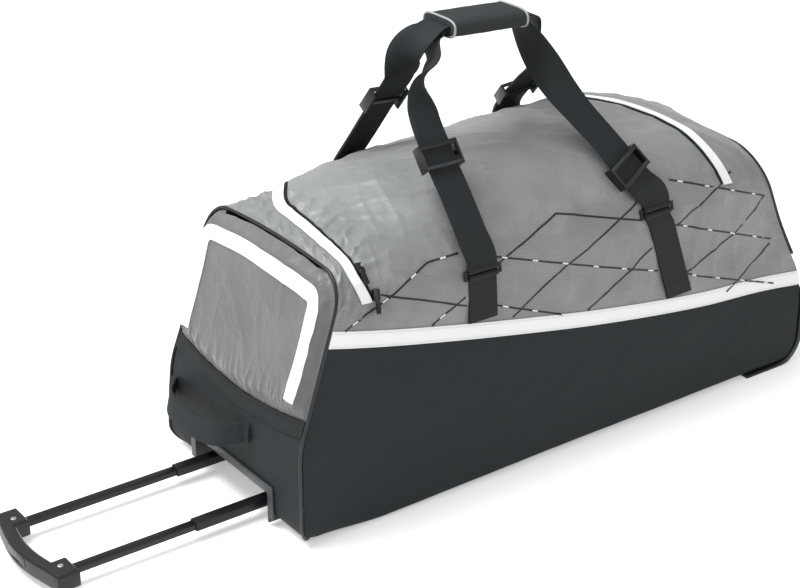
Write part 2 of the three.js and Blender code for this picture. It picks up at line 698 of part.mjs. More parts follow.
// Grip: two corner blocks joined by a bar that bows outwards, with a thumb scoop for the button.
const gripLow = railHeight - gripHeight / 2;
const gripHigh = railHeight + gripHeight / 2;
const gripEdge = (y, depth) => gripInner - gripBlock + gripBarDepth - depth
  - gripBow * (1 - (y / gripHalfLength) ** 2) ** 1.5;
const gripOutline = [];
const gripSteps = 14;
for (let n = 0; n <= gripSteps; n += 1) {
  const y = mix(-gripHalfLength, gripHalfLength, n / gripSteps);
  gripOutline.push(new THREE.Vector2(gripEdge(y, gripBarDepth), y));
}
const blockHalf = gripHalfLength - railY;
gripOutline.push(new THREE.Vector2(gripInner, gripHalfLength));
gripOutline.push(new THREE.Vector2(gripInner, railY - blockHalf + 8));
for (let n = gripSteps - 3; n >= 3; n -= 1) {
  const y = mix(-gripHalfLength, gripHalfLength, n / gripSteps);
  gripOutline.push(new THREE.Vector2(gripEdge(y, 2), y));
}
gripOutline.push(new THREE.Vector2(gripInner, -railY + blockHalf - 8));
gripOutline.push(new THREE.Vector2(gripInner, -gripHalfLength));
const gripBar = new THREE.ExtrudeGeometry(new THREE.Shape(gripOutline), {
  depth: gripHeight - 6, bevelEnabled: true, bevelThickness: 3, bevelSize: 3, bevelOffset: -3, bevelSegments: 1,
}).translate(0, 0, gripLow + 3);
const buttonX = gripEdge(0, gripBarDepth);
const scoopDepth = 8;
const scoop = block(buttonX - 10, buttonX + scoopDepth, -buttonLength / 2 - slideGap, buttonLength / 2 + slideGap,
  gripLow + 7, gripHigh - 4);
const screwWell = (side) => new THREE.CylinderGeometry(screwRadius + 0.3, screwRadius + 0.3, 4, 14)
  .rotateX(Math.PI / 2).translate(gripInner - gripBlock / 2, side * railY, gripHigh);
addPart('trolley_grip', cut(gripBar, scoop, screwWell(1), screwWell(-1)), colours.plastic, 0.5);
addPart('release_button', block(buttonX + 1, buttonX + scoopDepth - 4, -buttonLength / 2, buttonLength / 2,
  gripLow + 7 + slideGap, gripHigh - 4 - slideGap), colours.black, 0.4);
for (const [label, side] of stages) {
  addPart(`${label}_grip_screw`, new THREE.CylinderGeometry(screwRadius, screwRadius, 1.4, 14)
    .rotateX(Math.PI / 2).translate(gripInner - gripBlock / 2, side * railY, gripHigh - 1), colours.metal, 0.4, 1);
}

// Carry straps. Each row: share of halfLength along, share of halfWidth across, share of the way
// up from crownHeight to handleHeight, turn of the width from +x in degrees, and true where a
// glider sits. The rings are added at both ends and the stretch inside the wrap in the middle.
const nearRoute = {
  left: [[-0.377, -0.892, -0.384, 0], [-0.384, -0.711, -0.107, 0], [-0.389, -0.518, 0.151, 0, true], [-0.38, -0.277, 0.453, 4],
    [-0.345, -0.145, 0.635, 38], [-0.291, -0.09, 0.792, 68], [-0.275, -0.012, 0.918, 86]],
  right: [[0.057, -0.006, 0.881, 91], [0.091, -0.169, 0.597, 128], [0.118, -0.313, 0.39, 156], [0.152, -0.47, 0.195, 174],
    [0.205, -0.675, -0.057, 180], [0.241, -0.819, -0.252, 180, true], [0.28, -0.91, -0.409, 180]],
};
const farRoute = {
  left: [[-0.368, 0.849, -0.384, 180], [-0.352, 0.627, -0.031, 180], [-0.332, 0.41, 0.321, 180, true], [-0.318, 0.253, 0.56, 174],
    [-0.325, 0.151, 0.799, 114], [-0.298, 0.03, 0.956, 96]],
  right: [[0.095, 0.012, 0.943, 88], [0.145, 0.084, 0.623, 56], [0.191, 0.241, 0.396, 22], [0.211, 0.386, 0.208, 4],
    [0.225, 0.542, 0.044, 0, true], [0.255, 0.783, -0.208, 0]],
};
const doubledPast = 30;
const wrapPlace = -0.109;
const wrapMiddle = new THREE.Vector3(wrapPlace * halfLength, 0, handleHeight);
const wrapTilt = THREE.MathUtils.degToRad(3.3);
const wrapHalfWide = 33;
const wrapHalfHigh = 12;
const wrapRoom = 5.2;
const strapStack = webbingThickness + 2;

// The stretch inside the wrap, with the far strap lying on the near one.
function wrapRun(side) {
  const lift = (side === 'near' ? -1 : 1) * strapStack / 2;
  return [-1, -0.7, 0, 0.7, 1].map((share) => {
    const reach = share * (wrapLength / 2 + 4);
    return [wrapMiddle.x + reach, 0, wrapMiddle.z + lift - reach * Math.tan(wrapTilt), 90];
  });
}

function strapStations(route) {
  const points = route.map(([x, y, z]) => new THREE.Vector3(x, y, z));
  const path = new THREE.CatmullRomCurve3(points, false, 'centripetal');
  const rows = route.length - 1;
  const gliderRows = route.map((row, n) => (row[4] ? n : -1)).filter((n) => n >= 0);
  const stations = [];
  for (let n = 0; n <= rows * 2; n += 1) {
    const row = Math.min(rows - 1, Math.floor(n / 2));
    const turn = THREE.MathUtils.degToRad(mix(route[row][3], route[row + 1][3], n / 2 - row));
    const travel = path.getTangent(n / 2 / rows);
    const centre = path.getPoint(n / 2 / rows);
    const wide = new THREE.Vector3(Math.cos(turn), Math.sin(turn), 0);
    wide.addScaledVector(travel, -wide.dot(travel)).normalize();
    const single = n / 2 > gliderRows[0] && n / 2 < gliderRows[1]
      && gliderRows.every((m) => centre.distanceTo(points[m]) > doubledPast);
    stations.push({
      centre, wide, thick: wide.clone().cross(travel), travel, glider: n % 2 === 0 && route[row][4],
      halfWide: webbing / 2, halfThick: webbingThickness / 2 * (single ? 1 : 2),
    });
  }
  return stations;
}

// A frame of axes: local x along the webbing's width, y up the strap, z out from it.
function localFrame(centre, wide, up) {
  const out = wide.clone().cross(up).normalize();
  return new THREE.Matrix4().makeBasis(wide, up, out).setPosition(centre);
}
function barAcross(radius, length, y, z = 0) {
  return new THREE.CylinderGeometry(radius, radius, length, 8).rotateZ(Math.PI / 2).translate(0, y, z);
}

const ringInner = webbing / 2 + 1;
const eyeRadius = ringBar / 2 + ringGap;
const eyeWall = 1.8;
const ringRise = 2 * (eyeRadius + eyeWall) + ringGap;
const anchorRows = [
  // label, side, place of the foot and of the ring along the bag, height of the ring's lower bar
  ['near_left', 'near', -161, -161, 303], ['near_right', 'near', 186, 143, 312],
  ['far_left', 'far', -161, -161, 303], ['far_right', 'far', 186, 143, 312]];

function ring() {
  const sideBar = (x) => new THREE.CylinderGeometry(ringBar / 2, ringBar / 2, ringRise + ringBar, 8)
    .translate(x, ringRise / 2, 0);
  const reach = ringInner + ringBar / 2;
  return join(barAcross(ringBar / 2, 2 * reach, 0), barAcross(ringBar / 2, 2 * reach, ringRise),
    sideBar(-reach), sideBar(reach));
}

function glider() {
  const halfLong = gliderLength / 2;
  const reach = webbing / 2 + gliderRoom / 2;
  const over = webbingThickness + gliderRoom + gliderBar / 2;
  const endBar = (y) => block(-reach - gliderBar, reach + gliderBar, y - gliderBar, y + gliderBar,
    over - gliderBar / 2, over + gliderBar / 2);
  const sideBar = (x) => block(x - gliderBar / 2, x + gliderBar / 2, -halfLong, halfLong,
    -over - gliderBar / 2, over + gliderBar / 2);
  const seat = webbingThickness + seamGap;
  const middleBar = block(-reach - gliderBar, reach + gliderBar, -gliderBar, gliderBar,
    -seat - gliderBar, -seat);
  return join(endBar(-halfLong + gliderBar), endBar(halfLong - gliderBar), middleBar,
    sideBar(-reach - gliderBar / 2), sideBar(reach + gliderBar / 2));
}

function routeRows(rows) {
  return rows.map(([along, across, up, turn, hasGlider]) => [
    along * halfLength, across * halfWidth, mix(crownHeight, handleHeight, up), turn, hasGlider]);
}
const routes = {
  near: [...routeRows(nearRoute.left), ...wrapRun('near'), ...routeRows(nearRoute.right)],
  far: [...routeRows(farRoute.left), ...wrapRun('far'), ...routeRows(farRoute.right)],
};
const ringRun = 14;
const eyes = { near: [], far: [] };
for (const [label, side, footX, ringX, ringZ] of anchorRows) {
  const sign = side === 'near' ? 1 : -1;
  const girth = (v) => (sign > 0 ? v : 10 - v);
  const place = (x) => x / halfLength;
  const seat = girthAtHeight(place(ringX), ringZ);
  const foot = girthAtHeight(place(footX), stripeLow(place(footX)) + stripeWidth + 5);
  const onSkin = skin(place(ringX), girth(seat));
  const up = skin(place(ringX), girth(seat + 0.02)).sub(onSkin).normalize();
  const wide = new THREE.Vector3(sign, 0, 0);
  wide.addScaledVector(up, -wide.dot(up)).normalize();
  const out = wide.clone().cross(up).normalize();
  const low = onSkin.addScaledVector(out, eyeRadius + eyeWall + layGap * 2);
  const top = low.clone().addScaledVector(up, ringRise);
  const lowFrame = localFrame(low, wide, up);
  const topFrame = localFrame(top, wide, up);
  addPart(`${label}_ring`, ring().applyMatrix4(lowFrame), colours.black, 0.4);
  eyes[side].push(topFrame);
  const turn = (ringX < 0) === (side === 'near') ? 0 : 180;
  const ends = [[...top.toArray(), turn], [...top.clone().addScaledVector(up, ringRun).toArray(), turn]];
  if (ringX < 0) routes[side].unshift(...ends);
  else routes[side].push(...ends.reverse());
  const tab = sheet((a, b) => {
    const x = mix(footX, ringX, b) + (a - 0.5) * webbing;
    return skin(place(x), girth(mix(foot, seat, b)));
  }, 2, 4, { lift: 1, thickness: 3 });
  const eye = barAcross(eyeRadius + eyeWall, webbing, 0).applyMatrix4(lowFrame);
  const hole = barAcross(eyeRadius, webbing + 2, 0).applyMatrix4(lowFrame);
  addPart(`${label}_anchor`, cut(join(tab, eye), hole), colours.webbing);
}
const straps = { near: strapStations(routes.near), far: strapStations(routes.far) };
for (const side of ['near', 'far']) {
  const strap = eyes[side].reduce((whole, frame) => join(whole,
    barAcross(eyeRadius + eyeWall, webbing, 0).applyMatrix4(frame)), sweep(straps[side]));
  const holes = eyes[side].map((frame) => barAcross(eyeRadius, webbing + 2, 0).applyMatrix4(frame));
  addPart(`${side}_carry_strap`, cut(strap, ...holes), colours.webbing);
}

for (const side of ['near', 'far']) {
  for (const { centre, wide, travel } of straps[side].filter((station) => station.glider)) {
    const up = travel.z < 0 ? travel.clone().negate() : travel;
    const across = wide.clone();
    if (across.clone().cross(up).y * centre.y < 0) across.negate();
    addPart(`${side}_${centre.x < 0 ? 'left' : 'right'}_glider`,
      glider().applyMatrix4(localFrame(centre, across, up)), colours.black, 0.4);
  }
}

// Wrap round both straps
function flatRing(halfWide, halfHigh, radius, ShapeKind) {
  const path = new ShapeKind();
  path.moveTo(-halfWide + radius, -halfHigh);
  path.lineTo(halfWide - radius, -halfHigh);
  path.absarc(halfWide - radius, -halfHigh + radius, radius, -Math.PI / 2, 0);
  path.lineTo(halfWide, halfHigh - radius);
  path.absarc(halfWide - radius, halfHigh - radius, radius, 0, Math.PI / 2);
  path.lineTo(-halfWide + radius, halfHigh);
  path.absarc(-halfWide + radius, halfHigh - radius, radius, Math.PI / 2, Math.PI);
  path.lineTo(-halfWide, -halfHigh + radius);
  path.absarc(-halfWide + radius, -halfHigh + radius, radius, Math.PI, Math.PI * 1.5);
  return path;
}
const wrapShape = flatRing(wrapHalfWide, wrapHalfHigh, wrapHalfHigh - 1, THREE.Shape);
wrapShape.holes.push(flatRing(webbing / 2 + 1.5, wrapRoom, 1.5, THREE.Path));
addPart('handle_wrap', new THREE.ExtrudeGeometry(wrapShape, { depth: wrapLength, bevelEnabled: false, curveSegments: 4 })
  .translate(0, 0, -wrapLength / 2).rotateY(Math.PI / 2).rotateX(Math.PI / 2).rotateY(wrapTilt)
  .translate(...wrapMiddle.toArray()), colours.charcoal);

// Zip sliders with their pulls
function slider(pullLength) {
  return join(block(-5, 5, -7, 7, 0, 4.5), block(-3, 3, -pullLength - 4, -4, 3, 5.5));
}
function sliderOnSkin(name, s, girth, lift, pullLength) {
  const centre = skin(s, girth);
  const up = skin(s, girth + 0.05).sub(centre).normalize();
  const along = skin(s + 0.01, girth).sub(centre).normalize();
  const out = along.clone().cross(up).normalize();
  const wide = up.clone().cross(out);
  const frame = new THREE.Matrix4().makeBasis(wide, up, out).setPosition(centre.addScaledVector(out, lift));
  addPart(name, slider(pullLength).applyMatrix4(frame), colours.black, 0.4, 0.3);
}
const sliderLift = 0.4;
const besideFlap = flapShare / 2 + 0.026;
for (const [name, b] of [['main_zip_slider_1', 0.02], ['main_zip_slider_2', 0.13]]) {
  sliderOnSkin(name, readTable(frontZip, b) + besideFlap, lidGirth(b), sliderLift, 20);
}

// Stand the group over its own footprint
bag.updateMatrixWorld(true);
const bounds = new THREE.Box3().setFromObject(bag, true);
bag.position.set(-(bounds.min.x + bounds.max.x) / 2, -(bounds.min.y + bounds.max.y) / 2, -bounds.min.z);

export default bag;
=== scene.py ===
"""Looks of a wheeled ski and sports travel bag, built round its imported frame.

Lengths are in millimetres until a mesh is made. x runs from the trolley handle (-) to the wheels
(+), the near side is -y, and the bag's middle is x = 0.
"""

import json
import math

import bmesh
import bpy
import numpy as np
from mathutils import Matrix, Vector

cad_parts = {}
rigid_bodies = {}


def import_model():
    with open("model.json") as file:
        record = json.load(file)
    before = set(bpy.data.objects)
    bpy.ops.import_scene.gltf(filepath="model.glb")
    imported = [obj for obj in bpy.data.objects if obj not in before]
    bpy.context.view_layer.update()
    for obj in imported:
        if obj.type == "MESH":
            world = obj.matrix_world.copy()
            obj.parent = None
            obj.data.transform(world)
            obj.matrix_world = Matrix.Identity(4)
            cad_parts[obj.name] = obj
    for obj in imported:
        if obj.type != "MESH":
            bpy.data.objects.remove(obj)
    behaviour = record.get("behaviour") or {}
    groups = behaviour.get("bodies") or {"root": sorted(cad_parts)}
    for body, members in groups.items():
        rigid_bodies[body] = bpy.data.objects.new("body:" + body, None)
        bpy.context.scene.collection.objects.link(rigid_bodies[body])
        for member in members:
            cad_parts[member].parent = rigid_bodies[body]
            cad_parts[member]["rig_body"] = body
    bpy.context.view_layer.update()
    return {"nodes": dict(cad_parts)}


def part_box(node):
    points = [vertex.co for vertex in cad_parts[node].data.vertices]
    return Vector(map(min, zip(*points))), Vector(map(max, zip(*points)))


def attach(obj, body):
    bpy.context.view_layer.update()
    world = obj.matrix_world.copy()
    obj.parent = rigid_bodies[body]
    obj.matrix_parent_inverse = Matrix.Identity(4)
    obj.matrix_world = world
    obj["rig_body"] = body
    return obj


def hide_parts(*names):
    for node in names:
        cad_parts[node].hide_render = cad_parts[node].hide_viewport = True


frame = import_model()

MM = 0.001

# The bag's form, as the frame has it
HALF_LENGTH = 440.0
HALF_WIDTH = 166.0
FRONT_HEIGHT = 361.0
REAR_HEIGHT = 352.0
CROWN_HEIGHT = 419.0
FRONT_LEAN = 70.0
REAR_LEAN = 94.0
LEAN_START = 120.0
LEAN_EASE = 40.0
BASE_ARCH = 4.0
REAR_LIFT = 5.0
SIDE_BULGE = 6.0
MIDDLE_TAPER = 0.07
FRONT_TAPER = 0.07
REAR_TAPER = 0.12
FRONT_SWAY = 11.0
BASE_CORNER = 10.0
FRONT_CORNER_GAIN = 18.0
FRONT_CORNER = 45.0
REAR_CORNER = 65.0
MIDDLE_CORNER = 120.0
FRONT_FOOT = 32.0
REAR_FOOT = 40.0
END_CROWN_ANGLE = math.radians(4)
MIDDLE_CROWN_ANGLE = math.radians(20)
PIPING_RADIUS = 2.2
PIPING_SEAT = PIPING_RADIUS + 1.0
STRIPE_WIDTH = 21.5
FLAP_WIDTH = 22.0
HEM_TOP = 162.0
GRIP_INNER = -708.0
GRIP_BLOCK = 30
GRIP_BAR = 20
GRIP_BOW = 14
GRIP_HALF_LENGTH = 88
HEM_SAG = 16.0
HEM_HEIGHT = 20.0
POCKET_BULGE = 14.0
POCKET_RAMP = 17.0
TRIM_ROUNDING = 70
TRIM_WIDTH = 20.0
TRIM_END = 200.0
ZIP_END = 0.95
TEETH = 190
NEAR_LID_SEAM = 3.2
FAR_LID_SEAM = 6.7
TOP_DEPTH = 1.55
HALVINGS = 22

# Rise of the top towards each end: place as a share of the half length, share of the crown's rise
FRONT_RISE = ((0, 1), (0.25, 0.93), (0.5, 0.71), (0.7, 0.38), (0.85, 0.12), (1, 0))
REAR_RISE = ((0, 1), (0.25, 1), (0.5, 0.87), (0.7, 0.63), (0.85, 0.36), (1, 0))
# Lower edge of the white stripe: place along the bag, share of the front height
STRIPE_LINE = (
    (-1, 0.753), (-0.66, 0.67), (-0.3, 0.584), (0.09, 0.496), (0.52, 0.418), (0.8, 0.385),
    (1, 0.349),
)
# Zip lines over the top: share of the way across the lid, place along the bag
FRONT_ZIP = (
    (0, -0.835), (0.12, -0.885), (0.3, -0.885), (0.5, -0.865), (0.66, -0.835), (0.8, -0.75),
    (1, -0.6),
)
REAR_ZIP = ((0, 0.705), (0.12, 0.665), (0.3, 0.6), (0.5, 0.51), (0.75, 0.41), (1, 0.3))

low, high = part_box("near_side_panel")
base_low, base_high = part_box("base_panel")
ORIGIN = np.array([(low.x + high.x) / 2, (base_low.y + base_high.y) / 2, 0.0])


def to_row(points):
    """Points of the bag's own frame in millimetres, as metres of the row frame."""
    return np.asarray(points, float) * MM + ORIGIN


def smooth(t):
    t = np.clip(t, 0, 1)
    return t * t * (3 - 2 * t)


def mix(a, b, t):
    return a + (b - a) * t


def unit(v):
    return v / np.linalg.norm(v)


def read_table(table, place):
    """A smooth curve through the rows of a table of places and values."""
    xs, ys = np.array(table, float).T
    last = len(xs) - 1
    row = np.clip(np.searchsorted(xs[1:last], place, side="left"), 0, last - 1)
    before, after = np.maximum(row - 1, 0), np.minimum(row + 2, last)
    x0, x1, y0, y1 = xs[row], xs[row + 1], ys[row], ys[row + 1]
    t = np.clip((place - x0) / (x1 - x0), 0, 1)
    slope0 = (y1 - ys[before]) / (x1 - xs[before]) * (x1 - x0)
    slope1 = (ys[after] - y0) / (xs[after] - x0) * (x1 - x0)
    return (
        (2 * t**3 - 3 * t**2 + 1) * y0 + (t**3 - 2 * t**2 + t) * slope0
        + (3 * t**2 - 2 * t**3) * y1 + (t**3 - t**2) * slope1
    )


# The bag's skin
def section(s):
    s = np.asarray(s, float)
    rear = s > 0
    reach = np.abs(s)
    end_height = np.where(rear, REAR_HEIGHT, FRONT_HEIGHT)
    rise = np.where(rear, read_table(REAR_RISE, reach), read_table(FRONT_RISE, reach))
    top = mix(end_height, CROWN_HEIGHT, rise)
    middle = 1 - s * s
    radius = mix(np.where(rear, REAR_CORNER, FRONT_CORNER), MIDDLE_CORNER, middle)
    angle = mix(END_CROWN_ANGLE, MIDDLE_CROWN_ANGLE, middle)
    crown_half = HALF_WIDTH - radius * (1 - np.sin(angle))
    crown = np.tan(angle) * crown_half / 2
    side_top = top - crown - radius * np.cos(angle)
    lift = np.where(rear, REAR_LIFT * smooth(s / 0.8), 0)
    base = BASE_ARCH * (1 - smooth(reach / 0.8)) + lift
    return top, middle, radius, angle, crown_half, crown, side_top, base


def end_shape(end, z):
    """How far the end's face has tucked in at the foot and leaned in above, at a height."""
    lean = np.where(end > 0, REAR_LEAN, FRONT_LEAN)
    height = np.where(end > 0, REAR_HEIGHT, FRONT_HEIGHT)
    foot = np.where(end > 0, REAR_FOOT, FRONT_FOOT)
    base = np.where(end > 0, REAR_LIFT, 0)
    below = np.clip(foot - (z - base), 0, foot)
    tuck = foot - np.sqrt(foot**2 - below**2)
    rise = np.maximum(0, z - LEAN_START)
    eased = np.where(rise < LEAN_EASE, rise * rise / (2 * LEAN_EASE), rise - LEAN_EASE / 2)
    return tuck, lean * eased / (height - LEAN_START - LEAN_EASE / 2)


def skin(s, girth):
    """Outer face of the bag. girth runs round the section: 0 is the middle of the base, 3 to 4
    the near shoulder, 5 the middle of the top, then down the far side to 10."""
    s, girth = np.broadcast_arrays(np.asarray(s, float), np.asarray(girth, float))
    g = np.where(girth > 5, girth - 10, girth)
    v = np.abs(g)
    side = np.where(g > 0, -1.0, 1.0)
    top, middle, radius, angle, crown_half, crown, side_top, base = section(s)
    rounding = BASE_CORNER + FRONT_CORNER_GAIN * smooth((-s - 0.7) / 0.3)
    foot = base + rounding
    corner = (v - 1) * np.pi / 2
    shoulder = mix(np.pi / 2, angle, v - 3)
    spans = [v <= 1, v <= 2, v <= 3, v <= 4]
    inner = crown_half - radius * np.sin(angle)
    y = np.select(spans, [
        v * (HALF_WIDTH - rounding),
        HALF_WIDTH - rounding + rounding * np.sin(corner),
        HALF_WIDTH + 0 * v,
        inner + radius * np.sin(shoulder),
    ], crown_half * (5 - v))
    z = np.select(spans, [
        base + 0 * v,
        foot - rounding * np.cos(corner),
        mix(foot, side_top, v - 2),
        side_top + radius * np.cos(shoulder),
    ], top - crown * (5 - v) ** 2)
    swell = np.sin(np.pi * np.clip((z - base) / (side_top + 60), 0, 1))
    y = y + SIDE_BULGE * middle * swell * y / HALF_WIDTH
    end = np.where(s > 0, 1.0, -1.0)
    front_ramp = smooth((z - 20) / 180)
    end_taper = np.where(end > 0, REAR_TAPER * smooth((z - 90) / 160), FRONT_TAPER * front_ramp)
    plain_taper = MIDDLE_TAPER * smooth((z - 100) / (FRONT_HEIGHT - 60))
    y = y * (1 - mix(plain_taper, end_taper, np.abs(s) ** 3))
    sway = np.where(end < 0, FRONT_SWAY * front_ramp * np.abs(s) ** 3, 0)
    tuck, tilt = end_shape(end, z)
    x = s * HALF_LENGTH - end * (np.abs(s) ** 3 * tilt + np.abs(s) ** 10 * tuck)
    return np.stack([x, side * y - sway, z], -1)


def girth_at_height(s, z):
    s, z = np.broadcast_arrays(np.asarray(s, float), np.asarray(z, float))
    below, above = np.ones(s.shape), np.full(s.shape, 5.0)
    for _ in range(HALVINGS):
        half = (below + above) / 2
        under = skin(s, half)[..., 2] < z
        below, above = np.where(under, half, below), np.where(under, above, half)
    return above


def stripe_low(s):
    return read_table(STRIPE_LINE, s) * FRONT_HEIGHT


def skin_normal(s, girth):
    step = 0.004
    along = skin(np.minimum(s + step, 1), girth) - skin(np.maximum(s - step, -1), girth)
    across = skin(s, girth + step) - skin(s, girth - step)
    normal = np.cross(along, across)
    normal /= np.linalg.norm(normal, axis=-1, keepdims=True) + 1e-9
    return normal


# Girth measured in millimetres, so that folds and weave keep their size over the whole skin
GIRTH_PLACES = np.linspace(-1, 1, 81)
GIRTH_STEPS = np.linspace(0, 10, 201)
_ring = skin(GIRTH_PLACES[:, None], GIRTH_STEPS[None, :])
_runs = np.linalg.norm(np.diff(_ring, axis=1), axis=-1)
GIRTH_RUN = np.concatenate([np.zeros((len(GIRTH_PLACES), 1)), np.cumsum(_runs, 1)], 1)


def girth_length(s, girth):
    s, girth = np.broadcast_arrays(np.asarray(s, float), np.asarray(girth, float))
    i = np.clip((s + 1) / 2 * (len(GIRTH_PLACES) - 1), 0, len(GIRTH_PLACES) - 1.001)
    j = np.clip(girth / 10 * (len(GIRTH_STEPS) - 1), 0, len(GIRTH_STEPS) - 1.001)
    i0, j0 = i.astype(int), j.astype(int)
    a, b = i - i0, j - j0
    run = GIRTH_RUN
    return (
        run[i0, j0] * (1 - a) * (1 - b) + run[i0 + 1, j0] * a * (1 - b)
        + run[i0, j0 + 1] * (1 - a) * b + run[i0 + 1, j0 + 1] * a * b
    )


# Folds
_turns = np.random.default_rng(41).uniform(0, 2 * np.pi, 4096)


def ripple(u, v, seed):
    """Smooth noise from -1 to 1 with waves about one unit long."""
    iu, iv = np.floor(u).astype(int), np.floor(v).astype(int)
    fu, fv = u - iu, v - iv
    total = 0
    for du in (0, 1):
        for dv in (0, 1):
            turn = _turns[((iu + du) * 127 + (iv + dv) * 311 + seed * 1013) % 4096]
            slope = np.cos(turn) * (fu - du) + np.sin(turn) * (fv - dv)
            weight_u = smooth(fu) if du else 1 - smooth(fu)
            weight_v = smooth(fv) if dv else 1 - smooth(fv)
            total = total + slope * weight_u * weight_v
    return total * 1.5


def folds(u, v, angle, across, along, seed):
    """Long folds that run at an angle, across apart and along long."""
    c, d = math.cos(angle), math.sin(angle)
    return ripple((-u * d + v * c) / across, (u * c + v * d) / along, seed)


def pinch(u, v, angle, across, along, seed):
    """Sharp creases with flat ground between them."""
    return (1 - np.minimum(1, 2.2 * np.abs(folds(u, v, angle, across, along, seed)))) ** 2


def zip_distance(s, girth):
    share = np.clip((girth - NEAR_LID_SEAM) / (FAR_LID_SEAM - NEAR_LID_SEAM), 0, 1)
    above = girth - NEAR_LID_SEAM > -0.02
    front = np.abs(s - read_table(FRONT_ZIP, share)) * HALF_LENGTH
    rear = np.abs(s - read_table(REAR_ZIP, share)) * HALF_LENGTH
    far = 1000.0
    return np.where(above, front, far), np.where(above, rear, far)


def top_relief(s, girth, grooved=True):
    """Folds of the grey cloth over the top and the upper sides, out from the skin."""
    x = s * HALF_LENGTH
    w = girth_length(s, girth)
    near_seam = girth_length(s, girth_at_height(s, stripe_low(s) + STRIPE_WIDTH / 2))
    far_seam = girth_length(s, 10.0) - near_seam
    ends = (1 - np.abs(s)) * HALF_LENGTH
    hold = smooth(ends / 16) * smooth((w - near_seam - 9) / 26) * smooth((far_seam - w - 9) / 26)
    front_zip, rear_zip = zip_distance(s, girth)
    by_front = np.exp(-((front_zip / 55) ** 2)) + 0.6 * smooth((-s - 0.62) / 0.2)
    by_rear = np.exp(-((rear_zip / 60) ** 2))
    by_low = np.exp(-(((w - near_seam) / 70) ** 2))
    out = 2.1 * ripple(x / 150, w / 110, 1)
    out = out + 1.9 * folds(x, w, 0.9, 46, 170, 2) * (0.7 + by_low)
    out = out + 1.6 * folds(x, w, 2.2, 38, 150, 3) * (0.6 + by_rear)
    out = out + 2.4 * pinch(x, w, 0.35, 24, 90, 4) * by_front
    out = out + 1.3 * pinch(x, w, 1.1, 30, 110, 8) * by_front
    out = out + 1.5 * pinch(x, w, 2.6, 40, 130, 5) * (0.7 + by_rear)
    out = out + 1.4 * pinch(x, w, 1.35, 44, 150, 6) * (0.5 + 0.6 * by_low)
    out = out + 0.35 * ripple(x / 17, w / 15, 7)
    by_zip = 0.12 + 0.88 * smooth((np.minimum(front_zip, rear_zip) - 9) / 22)
    hold = hold * by_zip
    groove = 1.6 * (np.exp(-((front_zip / 5) ** 2)) + np.exp(-((rear_zip / 5) ** 2)))
    if not grooved:
        return hold * (TOP_DEPTH * out - 0.6)
    return hold * (TOP_DEPTH * out - 0.6) - groove * smooth(ends / 16)


def side_relief(s, girth, far=False):
    """Soft dents of the stiff charcoal sides."""
    x = s * HALF_LENGTH
    w = girth_length(s, girth)
    seed = 20 if far else 10
    seam = girth_length(s, girth_at_height(s, stripe_low(s) + STRIPE_WIDTH / 2))
    ends = (1 - np.abs(s)) * HALF_LENGTH
    foot = girth_length(s, 1.0 + 0 * s)
    hold = smooth(ends / 22) * smooth((seam - w - 9) / 26) * smooth((w - foot) / 24)
    by_end = np.exp(-((ends / 60) ** 2))
    out = 1.9 * ripple(x / 190, w / 120, seed)
    out = out + 1.1 * pinch(x, w, 0.15, 22, 70, seed + 1) * by_end
    out = out + 0.9 * pinch(x, w, 0.55, 60, 220, seed + 2)
    out = out + 0.12 * ripple(x / 14, w / 14, seed + 3)
    return hold * out


# Meshes
def placed(name, data):
    made = bpy.data.objects.new(name, data)
    bpy.context.scene.collection.objects.link(made)
    return made


def new_object(name, points, faces, material, uvs=None, sharp=None):
    mesh = bpy.data.meshes.new(name)
    mesh.from_pydata([tuple(p) for p in to_row(points)], [], [tuple(f) for f in faces])
    mesh.materials.append(material)
    if uvs is not None:
        layer = mesh.uv_layers.new(name="UVMap")
        loops = np.zeros(len(mesh.loops), int)
        mesh.loops.foreach_get("vertex_index", loops)
        layer.data.foreach_set("uv", (np.asarray(uvs) * MM)[loops].ravel())
    mesh.shade_smooth()
    if sharp is not None:
        mesh.set_sharp_from_angle(angle=math.radians(sharp))
    return placed(name, mesh)


def dress(piece, replaced=(), body="bag"):
    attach(piece, body)
    if replaced:
        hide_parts(*replaced)
    return piece


def grid_normals(points):
    along = np.gradient(points, axis=1)
    up = np.gradient(points, axis=0)
    normal = np.cross(along, up)
    normal /= np.linalg.norm(normal, axis=-1, keepdims=True) + 1e-12
    heart = np.array([0.0, 0.0, 150.0])
    middle = (points.shape[0] // 2, points.shape[1] // 2)
    if normal[middle] @ (points[middle] - heart) < 0:
        normal = -normal
    return normal


def cloth(name, points, thickness, material, lift=0.0):
    """A sheet of cloth from a grid of points on its outer face, with a wall under it."""
    normal = grid_normals(points)
    outer = points + normal * lift
    inner = outer - normal * thickness
    rows, columns = points.shape[:2]
    u = np.concatenate([np.zeros((rows, 1)),
                        np.cumsum(np.linalg.norm(np.diff(points, axis=1), axis=-1), 1)], 1)
    v = np.concatenate([np.zeros((1, columns)),
                        np.cumsum(np.linalg.norm(np.diff(points, axis=0), axis=-1), 0)], 0)
    u = u + (u.max() - u[:, -1:]) / 2
    uvs = np.stack([u, v], -1).reshape(-1, 2)
    index = np.arange(rows * columns).reshape(rows, columns)
    a, b = index[:-1, :-1].ravel(), index[:-1, 1:].ravel()
    c, d = index[1:, 1:].ravel(), index[1:, :-1].ravel()
    faces = [np.stack([a, b, c, d], 1), np.stack([a, d, c, b], 1) + rows * columns]
    rim = np.concatenate([index[0, :], index[1:, -1], index[-1, -2::-1], index[-2:0:-1, 0]])
    after = np.roll(rim, -1)
    faces.append(np.stack([rim, rim + rows * columns, after + rows * columns, after], 1))
    faces = np.concatenate(faces)
    both = np.concatenate([outer.reshape(-1, 3), inner.reshape(-1, 3)])
    piece = new_object(name, both, faces, material, np.concatenate([uvs, uvs]), sharp=60)
    outward(piece)
    return piece


